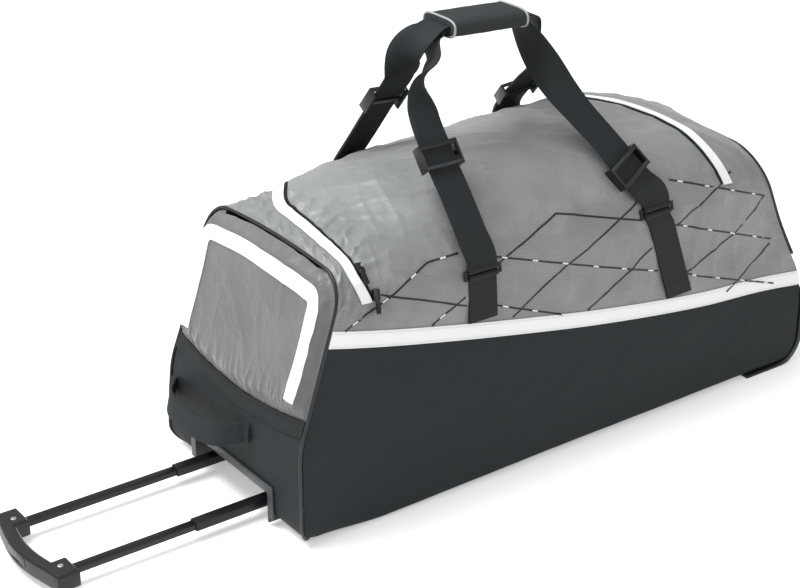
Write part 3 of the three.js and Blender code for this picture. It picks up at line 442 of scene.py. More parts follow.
def tube(name, path, radius, material, sides=10):
    """A round bar along a path."""
    path = np.asarray(path, float)
    travel = np.gradient(path, axis=0)
    travel /= np.linalg.norm(travel, axis=-1, keepdims=True)
    wide = np.cross(travel, np.array([1.0, 0, 0]))
    wide /= np.linalg.norm(wide, axis=-1, keepdims=True) + 1e-9
    thick = np.cross(travel, wide)
    turn = np.linspace(0, 2 * np.pi, sides, endpoint=False)
    ring = (wide[:, None] * np.cos(turn)[None, :, None] + thick[:, None] * np.sin(turn)[None, :, None])
    return loft(name, path[:, None] + ring * radius, material)


def loft(name, rings, material, sharp=None):
    """A closed body through rings of points, capped at both ends."""
    count, sides = rings.shape[:2]
    index = np.arange(count * sides).reshape(count, sides)
    a, b = index[:-1], np.roll(index, -1, 1)[:-1]
    c, d = np.roll(index, -1, 1)[1:], index[1:]
    faces = [list(f) for f in np.stack([a, b, c, d], -1).reshape(-1, 4)]
    faces.append(list(index[0, ::-1]))
    faces.append(list(index[-1]))
    run = np.linalg.norm(np.diff(rings.mean(1), axis=0), axis=-1)
    v = np.repeat(np.concatenate([[0], np.cumsum(run)]), sides)
    loop = np.linalg.norm(rings[count // 2] - np.roll(rings[count // 2], 1, 0), axis=-1)
    u = np.tile(np.cumsum(loop), count)
    piece = new_object(name, rings.reshape(-1, 3), faces, material, np.stack([u, v], -1), sharp)
    outward(piece)
    return piece


def outward(piece):
    work = bmesh.new()
    work.from_mesh(piece.data)
    bmesh.ops.recalc_face_normals(work, faces=work.faces)
    work.to_mesh(piece.data)
    work.free()


def merge(name, pieces):
    """Several pieces as one mesh."""
    with bpy.context.temp_override(
        active_object=pieces[0], selected_editable_objects=pieces, selected_objects=pieces,
        object=pieces[0],
    ):
        bpy.ops.object.join()
    pieces[0].name = name
    pieces[0].data.name = name
    return pieces[0]


# Finishes
def sockets(material):
    return material.node_tree.nodes["Principled BSDF"].inputs


def finish(name, colour, roughness, metallic=0.0, sheen=0.0, specular=0.5):
    material = bpy.data.materials.new(name)
    material.use_nodes = True
    shader = sockets(material)
    shader["Base Color"].default_value = (*colour, 1)
    shader["Roughness"].default_value = roughness
    shader["Metallic"].default_value = metallic
    shader["Specular IOR Level"].default_value = specular
    shader["Sheen Weight"].default_value = sheen
    shader["Sheen Roughness"].default_value = 0.4
    return material


def node(material, kind, **values):
    made = material.node_tree.nodes.new(kind)
    for key, value in values.items():
        if key in made.inputs:
            made.inputs[key].default_value = value
        else:
            setattr(made, key, value)
    return made


def link(material, source, target):
    material.node_tree.links.new(source, target)


def scaled_uv(material, per_metre):
    coordinates = node(material, "ShaderNodeTexCoord")
    mapping = node(material, "ShaderNodeMapping")
    mapping.inputs["Scale"].default_value = (per_metre, per_metre, per_metre)
    link(material, coordinates.outputs["UV"], mapping.inputs["Vector"])
    return mapping.outputs["Vector"]


def bump(material, heights):
    """Bump from several height outputs, each with its depth in millimetres."""
    previous = None
    for output, depth in heights:
        step = node(material, "ShaderNodeBump")
        step.inputs["Strength"].default_value = 1.0
        step.inputs["Distance"].default_value = depth * MM
        link(material, output, step.inputs["Height"])
        if previous is not None:
            link(material, previous, step.inputs["Normal"])
        previous = step.outputs["Normal"]
    link(material, previous, sockets(material)["Normal"])


def tone(material, output, dark, light):
    """The base colour runs from dark to light with an output from 0 to 1."""
    ramp = node(material, "ShaderNodeMix", data_type="RGBA")
    for item in ramp.inputs:
        if item.type == "RGBA":
            item.default_value = (*dark, 1) if item.identifier.startswith("A") else (*light, 1)
    factor = next(i for i in ramp.inputs if i.identifier == "Factor_Float")
    result = next(o for o in ramp.outputs if o.identifier == "Result_Color")
    link(material, output, factor)
    link(material, result, sockets(material)["Base Color"])


def weave(material, per_mm):
    """A plain weave of threads, from two waves at right angles."""
    vector = scaled_uv(material, 1000 * per_mm)
    sums = []
    for direction in ("X", "Y"):
        wave = node(material, "ShaderNodeTexWave", bands_direction=direction)
        wave.inputs["Scale"].default_value = 1.0
        link(material, vector, wave.inputs["Vector"])
        sums.append(wave.outputs["Fac"])
    both = node(material, "ShaderNodeMath", operation="MULTIPLY")
    link(material, sums[0], both.inputs[0])
    link(material, sums[1], both.inputs[1])
    return both.outputs[0]


def mottled(material, per_metre, detail=4.0):
    grain = node(material, "ShaderNodeTexNoise")
    grain.inputs["Scale"].default_value = 1.0
    grain.inputs["Detail"].default_value = detail
    link(material, scaled_uv(material, per_metre), grain.inputs["Vector"])
    return grain.outputs["Fac"]


def ripstop(name, dark, light, roughness):
    """Thin shiny cloth with a raised grid of thicker threads."""
    cell = 4.2
    material = finish(name, light, roughness, sheen=0.25)
    grid = node(material, "ShaderNodeTexBrick", offset=0.0, squash=1.0)
    grid.inputs["Scale"].default_value = 1.0
    grid.inputs["Brick Width"].default_value = cell
    grid.inputs["Row Height"].default_value = cell
    grid.inputs["Mortar Size"].default_value = 0.34
    grid.inputs["Mortar Smooth"].default_value = 0.6
    link(material, scaled_uv(material, 1000), grid.inputs["Vector"])
    cloudy = mottled(material, 9)
    blend = node(material, "ShaderNodeMath", operation="MULTIPLY_ADD")
    blend.inputs[1].default_value = 0.28
    link(material, grid.outputs["Fac"], blend.inputs[0])
    link(material, cloudy, blend.inputs[2])
    tone(material, blend.outputs[0], dark, light)
    bump(material, [
        (grid.outputs["Fac"], 0.14), (mottled(material, 130), 0.6), (mottled(material, 45), 1.6)])
    return material


def woven(name, dark, light, roughness, per_mm=0.9, depth=0.12, specular=0.18):
    material = finish(name, light, roughness, specular=specular)
    tone(material, mottled(material, 900, 2.0), dark, light)
    bump(material, [(weave(material, per_mm), depth), (mottled(material, 60), 0.35)])
    return material


def ribbed(name, dark, light, roughness):
    """Webbing: fine ribs across its width."""
    material = finish(name, light, roughness, specular=0.2)
    ribs = node(material, "ShaderNodeTexWave", bands_direction="Y")
    ribs.inputs["Scale"].default_value = 1.0
    ribs.inputs["Distortion"].default_value = 0.6
    link(material, scaled_uv(material, 260), ribs.inputs["Vector"])
    tone(material, mottled(material, 700, 2.0), dark, light)
    bump(material, [(ribs.outputs["Fac"], 0.22), (mottled(material, 500), 0.15)])
    return material


def moulded(name, colour, roughness, grain=0.05, specular=0.4):
    material = finish(name, colour, roughness, specular=specular)
    speck = node(material, "ShaderNodeTexNoise")
    speck.inputs["Scale"].default_value = 1400.0
    coordinates = node(material, "ShaderNodeTexCoord")
    link(material, coordinates.outputs["Object"], speck.inputs["Vector"])
    bump(material, [(speck.outputs["Fac"], grain)])
    return material


GREY = ripstop("grey_ripstop", (0.12, 0.127, 0.132), (0.275, 0.285, 0.291), 0.40)
CHARCOAL = woven("charcoal_canvas", (0.014, 0.0175, 0.0195), (0.026, 0.031, 0.034), 0.68)
# The pocket's cloth is a darker copy of the grey ripstop: painted shade for the front face, which turns
# away from the key light
POCKET_SHADED_RIPSTOP = ripstop("pocket_ripstop_painted_shade", (0.078, 0.083, 0.086), (0.145, 0.151, 0.154), 0.42)
WHITE = woven("white_tape", (0.80, 0.80, 0.79), (0.90, 0.90, 0.89), 0.55, 0.6, 0.05, 0.4)
WEBBING = ribbed("black_webbing", (0.010, 0.0125, 0.014), (0.021, 0.025, 0.028), 0.62)
PIPING = moulded("black_piping", (0.012, 0.013, 0.014), 0.38)
PADDED = woven("wrap_cloth", (0.022, 0.026, 0.028), (0.042, 0.047, 0.050), 0.7, 0.7, 0.2)
EDGING = moulded("light_edging", (0.30, 0.31, 0.315), 0.5)
PRINT_DARK = moulded("print_dark", (0.010, 0.011, 0.012), 0.5, 0.02)
PRINT_LIGHT = moulded("print_light", (0.78, 0.78, 0.77), 0.5, 0.02)
THREAD = moulded("dark_thread", (0.055, 0.06, 0.064), 0.6, 0.02)
BLACK_PLASTIC = moulded("black_plastic", (0.008, 0.009, 0.010), 0.32, 0.03, specular=0.35)
DARK_PLASTIC = moulded("dark_plastic", (0.014, 0.016, 0.018), 0.4, 0.05, specular=0.3)
GREY_PLASTIC = moulded("grey_plastic", (0.045, 0.050, 0.054), 0.45, 0.05)
BLACK_TUBE = finish("black_tube", (0.006, 0.006, 0.007), 0.3, specular=0.3)
BARE_METAL = finish("bare_metal", (0.62, 0.63, 0.64), 0.3, metallic=1.0)
TYRE = moulded("wheel_rubber", (0.014, 0.014, 0.014), 0.6)


# Body cloth
def steady(girth):
    return lambda place: 0 * place + girth


def body_grid(columns, rows, low_girth, high_girth, relief):
    inset = PIPING_SEAT / HALF_LENGTH
    s = np.linspace(-1 + inset, 1 - inset, columns)[None, :]
    share = np.linspace(0, 1, rows)[:, None]
    girth = mix(low_girth(s), high_girth(s), share)
    s = np.broadcast_to(s, girth.shape)
    return skin(s, girth) + skin_normal(s, girth) * relief(s, girth)[..., None]


def seam_girth(s, far=False):
    g = girth_at_height(s, stripe_low(s) + STRIPE_WIDTH / 2)
    return 10 - g if far else g


top_cloth = cloth(
    "grey_top_cloth",
    body_grid(300, 120, seam_girth, steady(FAR_LID_SEAM), top_relief), 1.6, GREY)
dress(top_cloth, ["near_upper_panel", "lid_panel", "front_yoke", "rear_yoke"])
far_cloth = cloth(
    "far_upper_cloth",
    body_grid(220, 50, steady(FAR_LID_SEAM), lambda s: seam_girth(s, True), top_relief),
    1.6, GREY)
dress(far_cloth, ["far_upper_panel"])
near_cloth = cloth(
    "near_side_cloth", body_grid(220, 90, steady(1), seam_girth, side_relief), 1.8, CHARCOAL)
dress(near_cloth, ["near_side_panel"])
far_side_cloth = cloth(
    "far_side_cloth",
    body_grid(160, 60, lambda s: seam_girth(s, True), steady(9),
              lambda s, g: side_relief(s, 10 - g, True)), 1.8, CHARCOAL)
dress(far_side_cloth, ["far_side_panel"])


def flat_relief(s, girth):
    return 0.15 * ripple(s * HALF_LENGTH / 24, girth, 31)


def stripe_girth(share, far):
    def at(s):
        g = girth_at_height(s, stripe_low(s) + STRIPE_WIDTH * share)
        return 10 - g if far else g
    return at


for label, far in (("near", False), ("far", True)):
    stripe = cloth(
        f"{label}_stripe_tape",
        body_grid(220, 5, stripe_girth(0, far), stripe_girth(1, far), flat_relief), 1.2, WHITE, lift=1.4)
    dress(stripe, [f"{label}_side_stripe"])


# White flaps over the zip, and the teeth that show beside them
def lid_girth(share):
    return mix(NEAR_LID_SEAM, FAR_LID_SEAM, share)


def zip_band(line, inner, outer, lift, rows=90, columns=5, start=0.0):
    share = np.linspace(start, ZIP_END, rows)[:, None]
    offset = np.linspace(inner, outer, columns)[None, :] / HALF_LENGTH
    s = read_table(line, share) + offset
    girth = np.broadcast_to(lid_girth(share), s.shape)
    return skin(s, girth) + skin_normal(s, girth) * (lift + top_relief(s, girth, False))[..., None]


half_flap = FLAP_WIDTH / 2
for place, line in (("front", FRONT_ZIP), ("rear", REAR_ZIP)):
    flap = cloth(f"{place}_zip_tape", zip_band(line, -half_flap, half_flap, 2.2), 1.2, WHITE)
    dress(flap, [f"{place}_zip_flap"])

for number, line in enumerate((FRONT_ZIP, REAR_ZIP)):
    beside = half_flap if number == 0 else -half_flap - 6
    tape_points = zip_band(line, beside - 1, beside + 7, 0.5, start=0.005)
    tape = cloth(f"zip_tape_{number + 1}", tape_points, 0.8, CHARCOAL)
    dress(tape)
    teeth = []
    for share in np.linspace(0.01, ZIP_END, TEETH):
        s = read_table(line, share) + np.array([beside + 1.6, beside + 4.6]) / HALF_LENGTH
        girth = np.full(2, lid_girth(share))
        ends = skin(s, girth) + skin_normal(s, girth) * (1.5 + top_relief(s, girth, False))[:, None]
        middle = (ends[0] + ends[1]) / 2 + skin_normal(s, girth)[0] * 0.5
        teeth.append((ends[0], middle, ends[1]))
    verts, faces = [], []
    step_girth = unit(skin(0.0, 5.02) - skin(0.0, 4.98)) * 0.7
    for left, middle, right in teeth:
        base = len(verts)
        verts += [left - step_girth, left + step_girth, right - step_girth, right + step_girth, middle]
        faces += [[base + a, base + b, base + 4] for a, b in ((0, 1), (1, 3), (3, 2), (2, 0))]
        faces.append([base, base + 2, base + 3, base + 1])
    coil = new_object(f"zip_teeth_{number + 1}", verts, faces, BLACK_PLASTIC)
    dress(coil)


# Ends of the bag
def end_span(end, v):
    step = 0.01
    edges = []
    for girth in (v, 10 - v):
        point = skin(end, girth)
        travel = skin(end, girth + step) - skin(end, girth - step)
        travel[..., 0] = 0
        travel /= np.linalg.norm(travel, axis=-1, keepdims=True)
        inward = np.stack([0 * travel[..., 0], travel[..., 2], -travel[..., 1]], -1)
        seat = PIPING_SEAT * smooth((np.minimum(girth, 10 - girth) - 1) / 0.5)
        edges.append(point + inward * seat[..., None])
    near, far = edges
    middle = (near[..., 1] + far[..., 1]) / 2
    half = (far[..., 1] - near[..., 1]) / 2
    return middle, half, (near[..., 2] + far[..., 2]) / 2


def end_face(end, across, v, bulge):
    middle, half, edge_z = end_span(end, v)
    crown = section(end)[5]
    z = edge_z + crown * (1 - across * across) * smooth(v - 3)
    tuck, tilt = end_shape(end, z)
    x = end * (HALF_LENGTH - tilt - tuck + bulge(across, z, half))
    return np.stack([x + 0 * across, middle + across * half, z], -1)


def hem_line(across):
    return HEM_TOP + HEM_SAG * across * across


def end_grid(end, columns, rows, low_v, high_v, bulge):
    across = np.linspace(-1, 1, columns)[None, :]
    share = np.linspace(0, 1, rows)[:, None]
    v = mix(low_v(across), high_v(across), share)
    return end_face(end, np.broadcast_to(across, v.shape), v, bulge)


def hem_girth(below=0):
    return lambda across: girth_at_height(-1, hem_line(across) - below)


def pocket_out(across, z, half):
    from_side = half * (1 - np.abs(across))
    from_top = FRONT_HEIGHT - z
    turn = POCKET_RAMP * 2
    corner = np.hypot(np.maximum(0, turn - from_side), np.maximum(0, turn - from_top))
    from_rim = np.minimum(np.minimum(from_side, from_top), turn - corner + 8)
    above_hem = (z - hem_line(across)) / (POCKET_RAMP * 1.6)
    return POCKET_BULGE * smooth(from_rim / POCKET_RAMP) * smooth(above_hem)


def pocket_relief(across, z, half):
    """The pocket's face with its gathers above the hem and round its gusset."""
    y = across * half
    above = z - hem_line(across)
    from_side = half * (1 - np.abs(across))
    gather = pinch(y, z, 1.45, 17, 60, 51) * np.exp(-((above / 34) ** 2)) * smooth(above / 6)
    rim = np.exp(-((from_side - 9) / 8) ** 2) + np.exp(-((FRONT_HEIGHT - z - 8) / 8) ** 2)
    gusset = 1.6 * ripple(z / 15, y / 19, 52) * rim
    face = 1.8 * ripple(y / 95, z / 80, 53) + 0.6 * pinch(y, z, 1.1, 48, 120, 54)
    hold = smooth(from_side / 7) * smooth(above / 8) * smooth((FRONT_HEIGHT - z + 6) / 12)
    return pocket_out(across, z, half) + hold * (1.3 * face + gusset + 4.0 * gather)


def lower_relief(across, z, half):
    y = across * half
    hold = smooth((half - np.abs(y)) / 20) * smooth((z - 50) / 40) * smooth((HEM_TOP - z) / 20 + 0.2)
    return hold * (1.2 * ripple(y / 80, z / 60, 61) + 0.8 * pinch(y, z, 0.3, 34, 110, 62))


def hem_relief(across, z, half):
    return 0.5 * ripple(across * half / 20, z / 20, 63)


def rear_relief(across, z, half):
    y = across * half
    soft = 5 * (1 - across**4) * smooth((z - 120) / 60) * smooth((REAR_HEIGHT - z) / 40)
    hold = smooth((half - np.abs(y)) / 20) * smooth((z - 60) / 30)
    return soft + hold * 1.5 * ripple(y / 90, z / 80, 71)


# Openings through the cloth for the handle's recess and the wheels, low and high in x, y and z
RECESS = ((-500, -377), (-93.6, 93.6), (-10, 50.6))
WHEEL_Y = 126
WELL_HALF = 17.6
WELLS = [
    ((369, 480), (side * WHEEL_Y - WELL_HALF, side * WHEEL_Y + WELL_HALF), (-10, 78.6))
    for side in (-1, 1)]


def holed(name, points, thickness, material, boxes, lift=0.0):
    """A sheet with rectangular openings, kept closed round each of them."""
    piece = cloth(name, points, thickness, material, lift)
    for box in boxes:
        cutter_mesh = bpy.data.meshes.new("cutter")
        work = bmesh.new()
        bmesh.ops.create_cube(work, size=1)
        for corner in work.verts:
            place = [mix(lo, hi, c + 0.5) for c, (lo, hi) in zip(corner.co, box)]
            corner.co = Vector(to_row([place])[0])
        work.to_mesh(cutter_mesh)
        work.free()
        cutter = placed("cutter", cutter_mesh)
        trim = piece.modifiers.new("opening", "BOOLEAN")
        trim.object = cutter
        trim.operation = "DIFFERENCE"
        trim.solver = "EXACT"
        bake(piece)
        bpy.data.objects.remove(cutter)
    return piece


def bake(piece):
    """Applies the piece's modifiers to its mesh."""
    graph = bpy.context.evaluated_depsgraph_get()
    graph.update()
    mesh = bpy.data.meshes.new_from_object(piece.evaluated_get(graph))
    piece.modifiers.clear()
    piece.data = mesh


pocket_grid = end_grid(-1, 200, 150, hem_girth(-1), steady(4), pocket_relief)
pocket = cloth("pocket_cloth", pocket_grid, 1.6, POCKET_SHADED_RIPSTOP)
dress(pocket, ["front_pocket"])
lower_grid = end_grid(-1, 110, 60, steady(1), hem_girth(), lower_relief)
lower = holed("front_lower_cloth", lower_grid, 1.8, CHARCOAL, [RECESS])
dress(lower, ["front_lower_panel"])
hem_grid = end_grid(-1, 110, 9, hem_girth(HEM_HEIGHT), hem_girth(-1), hem_relief)
hem = cloth("hem_band", hem_grid, 1.6, WEBBING, lift=2.2)
dress(hem, ["front_hem_band"])
rear_grid = end_grid(1, 90, 100, steady(1), steady(4), rear_relief)
rear = holed("rear_end_cloth", rear_grid, 1.8, CHARCOAL, WELLS)
dress(rear, ["rear_end_panel"])
base_s = np.linspace(-1, 1, 120)[None, :]
base_girth = np.linspace(1, -1, 40)[:, None]
base = holed("base_cloth", skin(base_s, base_girth % 10)[::-1], 1.8, CHARCOAL, [RECESS, *WELLS])
dress(base, ["base_panel"])


def trim_grid(columns, rows):
    start = float(girth_at_height(-1, TRIM_END))
    girth = np.linspace(start, 10 - start, columns)[None, :]
    inset = np.linspace(POCKET_RAMP, POCKET_RAMP + TRIM_WIDTH, rows)[:, None]
    point = skin(-1, girth)
    tangent = skin(-1, girth + 0.01) - skin(-1, girth - 0.01)
    tangent[..., 0] = 0
    tangent /= np.linalg.norm(tangent, axis=-1, keepdims=True)
    inward = np.stack([0 * tangent[..., 0], -tangent[..., 2], tangent[..., 1]], -1)
    towards = np.stack([0 * point[..., 0], -point[..., 1], 200 - point[..., 2]], -1)
    inward *= np.sign((inward * towards).sum(-1, keepdims=True))
    target = point + inward * inset[..., None]
    for _ in range(TRIM_ROUNDING):
        target[:, 1:-1] = (target[:, :-2] + 2 * target[:, 1:-1] + target[:, 2:]) / 4
    below = np.full(target.shape[:2], float(girth_at_height(-1, TRIM_END / 2)))
    above = np.full(target.shape[:2], 4.0)
    for _ in range(HALVINGS):
        v = (below + above) / 2
        middle, half, edge_z = end_span(-1, v)
        across = np.clip((target[..., 1] - middle) / half, -1, 1)
        z = edge_z + section(-1)[5] * (1 - across * across) * smooth(v - 3)
        under = z < target[..., 2]
        below, above = np.where(under, v, below), np.where(under, above, v)
    return end_face(-1, across, above, pocket_relief)


trim = cloth("pocket_trim_tape", trim_grid(240, 6), 1.2, WHITE, lift=1.6)
dress(trim, ["pocket_trim"])

# Tape over the far zip, between the ends of the two flaps
FAR_TAPE_HALF = 0.075
FAR_TAPE_GAP = 0.035
far_share = np.linspace(-FAR_TAPE_HALF, FAR_TAPE_HALF, 5)[::-1, None]
far_tape_s = np.linspace(
    FRONT_ZIP[-1][1] + FAR_TAPE_GAP, REAR_ZIP[-1][1] - FAR_TAPE_GAP, 120)[None, :]
far_girth = np.broadcast_to(FAR_LID_SEAM + far_share, (5, 120))
far_tape_s = np.broadcast_to(far_tape_s, far_girth.shape)
far_lift = 1.6 + top_relief(far_tape_s, far_girth)
far_tape_points = (
    skin(far_tape_s, far_girth) + skin_normal(far_tape_s, far_girth) * far_lift[..., None])
far_tape = cloth("far_zip_tape", far_tape_points, 1.2, WHITE)
dress(far_tape, ["far_zip_flap"])

# Piping
for label, end, last in (("front", -1, 1.3), ("rear", 1, 2.6)):
    turns = np.linspace(last, 10 - last, 260)
    cord_path = skin(end, turns) + np.array([end * 0.4, 0, 0])
    piped = tube(f"{label}_piping_cord", cord_path, PIPING_RADIUS, PIPING, 12)
    dress(piped, [f"{label}_piping"])


# Hard parts keep the frame's shape, with softened edges and a moulded surface
def detail(node_name, material, slot, bevel=0.5, segments=2):
    source = frame["nodes"][node_name]
    piece = placed(f"{node_name}_finished", source.data.copy())
    piece.data.materials.clear()
    piece.data.materials.append(material)
    work = bmesh.new()
    work.from_mesh(piece.data)
    bmesh.ops.remove_doubles(work, verts=work.verts, dist=1e-5)
    bmesh.ops.dissolve_limit(work, angle_limit=math.radians(2), verts=work.verts, edges=work.edges)
    work.to_mesh(piece.data)
    work.free()
    if bevel:
        rounding = piece.modifiers.new("edges", "BEVEL")
        rounding.width = bevel * MM
        rounding.segments = segments
        rounding.limit_method = "ANGLE"
        rounding.angle_limit = math.radians(35)
        bake(piece)
    piece.data.shade_smooth()
    piece.data.set_sharp_from_angle(angle=math.radians(50))
    dress(piece, [node_name], source["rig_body"])
    return piece


detail("trolley_housing", GREY_PLASTIC, "grey_plastic", 1.2, 3)
detail("trolley_grip", DARK_PLASTIC, "dark_plastic", 1.6, 3)
detail("release_button", BLACK_PLASTIC, "black_plastic", 0.8, 3)
for side in ("near", "far"):
    detail(f"{side}_outer_tube", BLACK_TUBE, "black_tube", 0.5, 3)
    detail(f"{side}_inner_tube", BLACK_TUBE, "black_tube", 0.5, 3)
    detail(f"{side}_guide_sleeve", BARE_METAL, "bare_metal", 0.2)
    detail(f"{side}_grip_screw", BARE_METAL, "bare_metal", 0.3)
    detail(f"{side}_wheel_housing", DARK_PLASTIC, "dark_plastic", 0.7, 2)
    detail(f"{side}_axle", BARE_METAL, "bare_metal", 0.3)
    for place in ("left", "right"):
        detail(f"{side}_{place}_ring", BLACK_PLASTIC, "black_plastic", 0)
        detail(f"{side}_{place}_glider", BLACK_PLASTIC, "black_plastic", 0.8, 3)


def wheel(side):
    """A turned wheel with a rounded tread, a shallow groove round it and a dished face."""
    low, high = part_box(f"{side}_wheel")
    centre = ((np.array(low) + np.array(high)) / 2 - ORIGIN) / MM
    half = (high.y - low.y) / 2 / MM
    radius = (high.z - low.z) / 2 / MM
    face = [
        (4.3, -half), (12, -half), (14, -half + 2), (24, -half + 2), (26, -half), (29, -half),
        (radius - 2.5, -half + 1), (radius - 0.8, -half + 3.5), (radius, -half + 6),
        (radius, -1.4), (radius - 1.2, -0.9)]
    profile = face + [(r, -y) for r, y in reversed(face)]
    turn = np.linspace(0, 2 * np.pi, 72, endpoint=False)
    around = np.stack([np.cos(turn), 0 * turn, np.sin(turn)], -1)
    points = np.array([centre + r * around + np.array([0, y, 0]) for r, y in profile]).reshape(-1, 3)
    index = np.arange(len(profile) * len(turn)).reshape(len(profile), len(turn))
    after, beside = np.roll(index, -1, 0), np.roll(index, -1, 1)
    faces = np.stack([index, beside, np.roll(after, -1, 1), after], -1).reshape(-1, 4)
    turned = new_object(f"{side}_wheel_turned", points, faces, TYRE, sharp=40)
    outward(turned)
    dress(turned, [f"{side}_wheel"], f"{side}_wheel_body")


wheel("near")
wheel("far")
for number in (1, 2):
    detail(f"main_zip_slider_{number}", BLACK_PLASTIC, "black_plastic", 0.6, 2)


# Light line along the inner edge of the grip's bar
grip_low, grip_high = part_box("trolley_grip")
grip_middle = (grip_low.z + grip_high.z) / 2 / MM
rim_y = np.linspace(-50, 50, 40)
rim_bow = GRIP_BOW * (1 - (rim_y / GRIP_HALF_LENGTH) ** 2) ** 1.5
rim_x = GRIP_INNER - GRIP_BLOCK + GRIP_BAR - 2 - rim_bow + 0.1
rim_path = np.stack([rim_x, rim_y, 0 * rim_y + grip_middle + 8.5], -1)
rim_line = tube("grip_rim_line", rim_path, 1.1, BARE_METAL, 8)
dress(rim_line, body="handle_frame")


# Carry straps
WEB = 46.0
WEB_THICK = 2.0
EYE = 4.2
RING_RISE = 8.8
RING_RUN = 14.0
HANDLE_HEIGHT = 578.0
WRAP_X = -0.109 * HALF_LENGTH
WRAP_TILT = math.radians(3.3)
WRAP_LENGTH = 124.0
ROUTES = {
    "near": (
        [(-0.377, -0.892, -0.384, 0), (-0.384, -0.711, -0.107, 0), (-0.389, -0.518, 0.151, 0),
         (-0.38, -0.277, 0.453, 4), (-0.345, -0.145, 0.635, 38), (-0.291, -0.09, 0.792, 68),
         (-0.275, -0.012, 0.918, 86)],
        [(0.057, -0.006, 0.881, 91), (0.091, -0.169, 0.597, 128), (0.118, -0.313, 0.39, 156),
         (0.152, -0.47, 0.195, 174), (0.205, -0.675, -0.057, 180), (0.241, -0.819, -0.252, 180),
         (0.28, -0.91, -0.409, 180)],
    ),
    "far": (
        [(-0.368, 0.849, -0.384, 180), (-0.352, 0.627, -0.031, 180), (-0.332, 0.41, 0.321, 180),
         (-0.318, 0.253, 0.56, 174), (-0.325, 0.151, 0.799, 114), (-0.298, 0.03, 0.956, 96)],
        [(0.095, 0.012, 0.943, 88), (0.145, 0.084, 0.623, 56), (0.191, 0.241, 0.396, 22),
         (0.211, 0.386, 0.208, 4), (0.225, 0.542, 0.044, 0), (0.255, 0.783, -0.208, 0)],
    ),
}
ANCHORS = (("near", -161.0, -161.0, 303.0), ("near", 186.0, 143.0, 312.0),
           ("far", -161.0, -161.0, 303.0), ("far", 186.0, 143.0, 312.0))


def curve_through(points, places):
    """A centripetal curve through points, at places counted in points."""
    ends = [2 * points[0] - points[1], *points, 2 * points[-1] - points[-2]]
    ends = np.array(ends)
    result = []
    for place in places:
        n = min(int(place), len(points) - 2)
        p0, p1, p2, p3 = ends[n:n + 4]
        knots = [0.0]
        for a, b in ((p0, p1), (p1, p2), (p2, p3)):
            knots.append(knots[-1] + max(np.linalg.norm(b - a), 1e-6) ** 0.5)
        t0, t1, t2, t3 = knots
        t = mix(t1, t2, place - n)
        a1 = mix(p0, p1, (t - t0) / (t1 - t0))
        a2 = mix(p1, p2, (t - t1) / (t2 - t1))
        a3 = mix(p2, p3, (t - t2) / (t3 - t2))
        b1 = mix(a1, a2, (t - t0) / (t2 - t0))
        b2 = mix(a2, a3, (t - t1) / (t3 - t1))
        result.append(mix(b1, b2, (t - t1) / (t2 - t1)))
    return np.array(result)


def band(name, centres, wides, half_wide, half_thick, material):
    """A flat band along a path, with rounded edges."""
    travel = np.gradient(centres, axis=0)
    travel /= np.linalg.norm(travel, axis=-1, keepdims=True)
    wides = wides - (wides * travel).sum(-1, keepdims=True) * travel
    wides /= np.linalg.norm(wides, axis=-1, keepdims=True)
    thick = np.cross(wides, travel)
    outline = [(-1, -0.5), (-0.97, -1), (-0.6, -1), (0, -1), (0.6, -1), (0.97, -1), (1, -0.5),
               (1, 0.5), (0.97, 1), (0.6, 1), (0, 1), (-0.6, 1), (-0.97, 1), (-1, 0.5)]
    half_thick = np.broadcast_to(half_thick, len(centres))[:, None, None]
    a = np.array([u for u, _ in outline])[None, :, None] * half_wide
    b = np.array([w for _, w in outline])[None, :, None] * half_thick
    rings = centres[:, None] + wides[:, None] * a + thick[:, None] * b
    return loft(name, rings, material, sharp=55)


def tab_foot(foot_x):
    """Height of an anchor tab's foot, above the white stripe."""
    return stripe_low(foot_x / HALF_LENGTH) + STRIPE_WIDTH + 5


def anchor_frame(side, ring_x, ring_z):
    sign = 1 if side == "near" else -1
    place = ring_x / HALF_LENGTH
    seat = float(girth_at_height(place, ring_z))
    on_skin = skin(place, seat if sign > 0 else 10 - seat)
    higher = skin(place, seat + 0.02 if sign > 0 else 10 - seat - 0.02)
    up = unit(higher - on_skin)
    wide = np.array([float(sign), 0, 0])
    wide = unit(wide - wide @ up * up)
    out = unit(np.cross(wide, up))
    low = on_skin + out * (EYE + 1.0)
    return low, low + up * RING_RISE, up, wide, seat


def strap_rows(side):
    shape = [
        [(x * HALF_LENGTH, y * HALF_WIDTH, mix(CROWN_HEIGHT, HANDLE_HEIGHT, z), turn)
         for x, y, z, turn in rows] for rows in ROUTES[side]]
    lift = (-1 if side == "near" else 1) * (WEB_THICK + 2) / 2
    inside = []
    for share in (-1, -0.7, 0, 0.7, 1):
        reach = share * (WRAP_LENGTH / 2 + 4)
        inside.append((WRAP_X + reach, 0, HANDLE_HEIGHT + lift - reach * math.tan(WRAP_TILT), 90))
    rows = [*shape[0], *inside, *shape[1]]
    for anchor_side, _, ring_x, ring_z in ANCHORS:
        if anchor_side != side:
            continue
        _, top, up, _, _ = anchor_frame(side, ring_x, ring_z)
        turn = 0 if (ring_x < 0) == (side == "near") else 180
        ends = [(*top, turn), (*(top + up * RING_RUN), turn)]
        rows = ends + rows if ring_x < 0 else rows + ends[::-1]
    return rows


def eye_roll(name, centre, wide, material):
    """The webbing's turn round a ring."""
    across = np.linspace(-WEB / 2, WEB / 2, 3)[:, None] * wide + centre
    start = np.array([0.0, 0, 1]) - wide[2] * wide
    first = unit(start)
    second = np.cross(wide, first)
    turn = np.linspace(0, 2 * np.pi, 20, endpoint=False)
    ring = first * np.cos(turn)[:, None] + second * np.sin(turn)[:, None]
    return loft(name, across[:, None] + ring[None] * EYE, material, sharp=50)


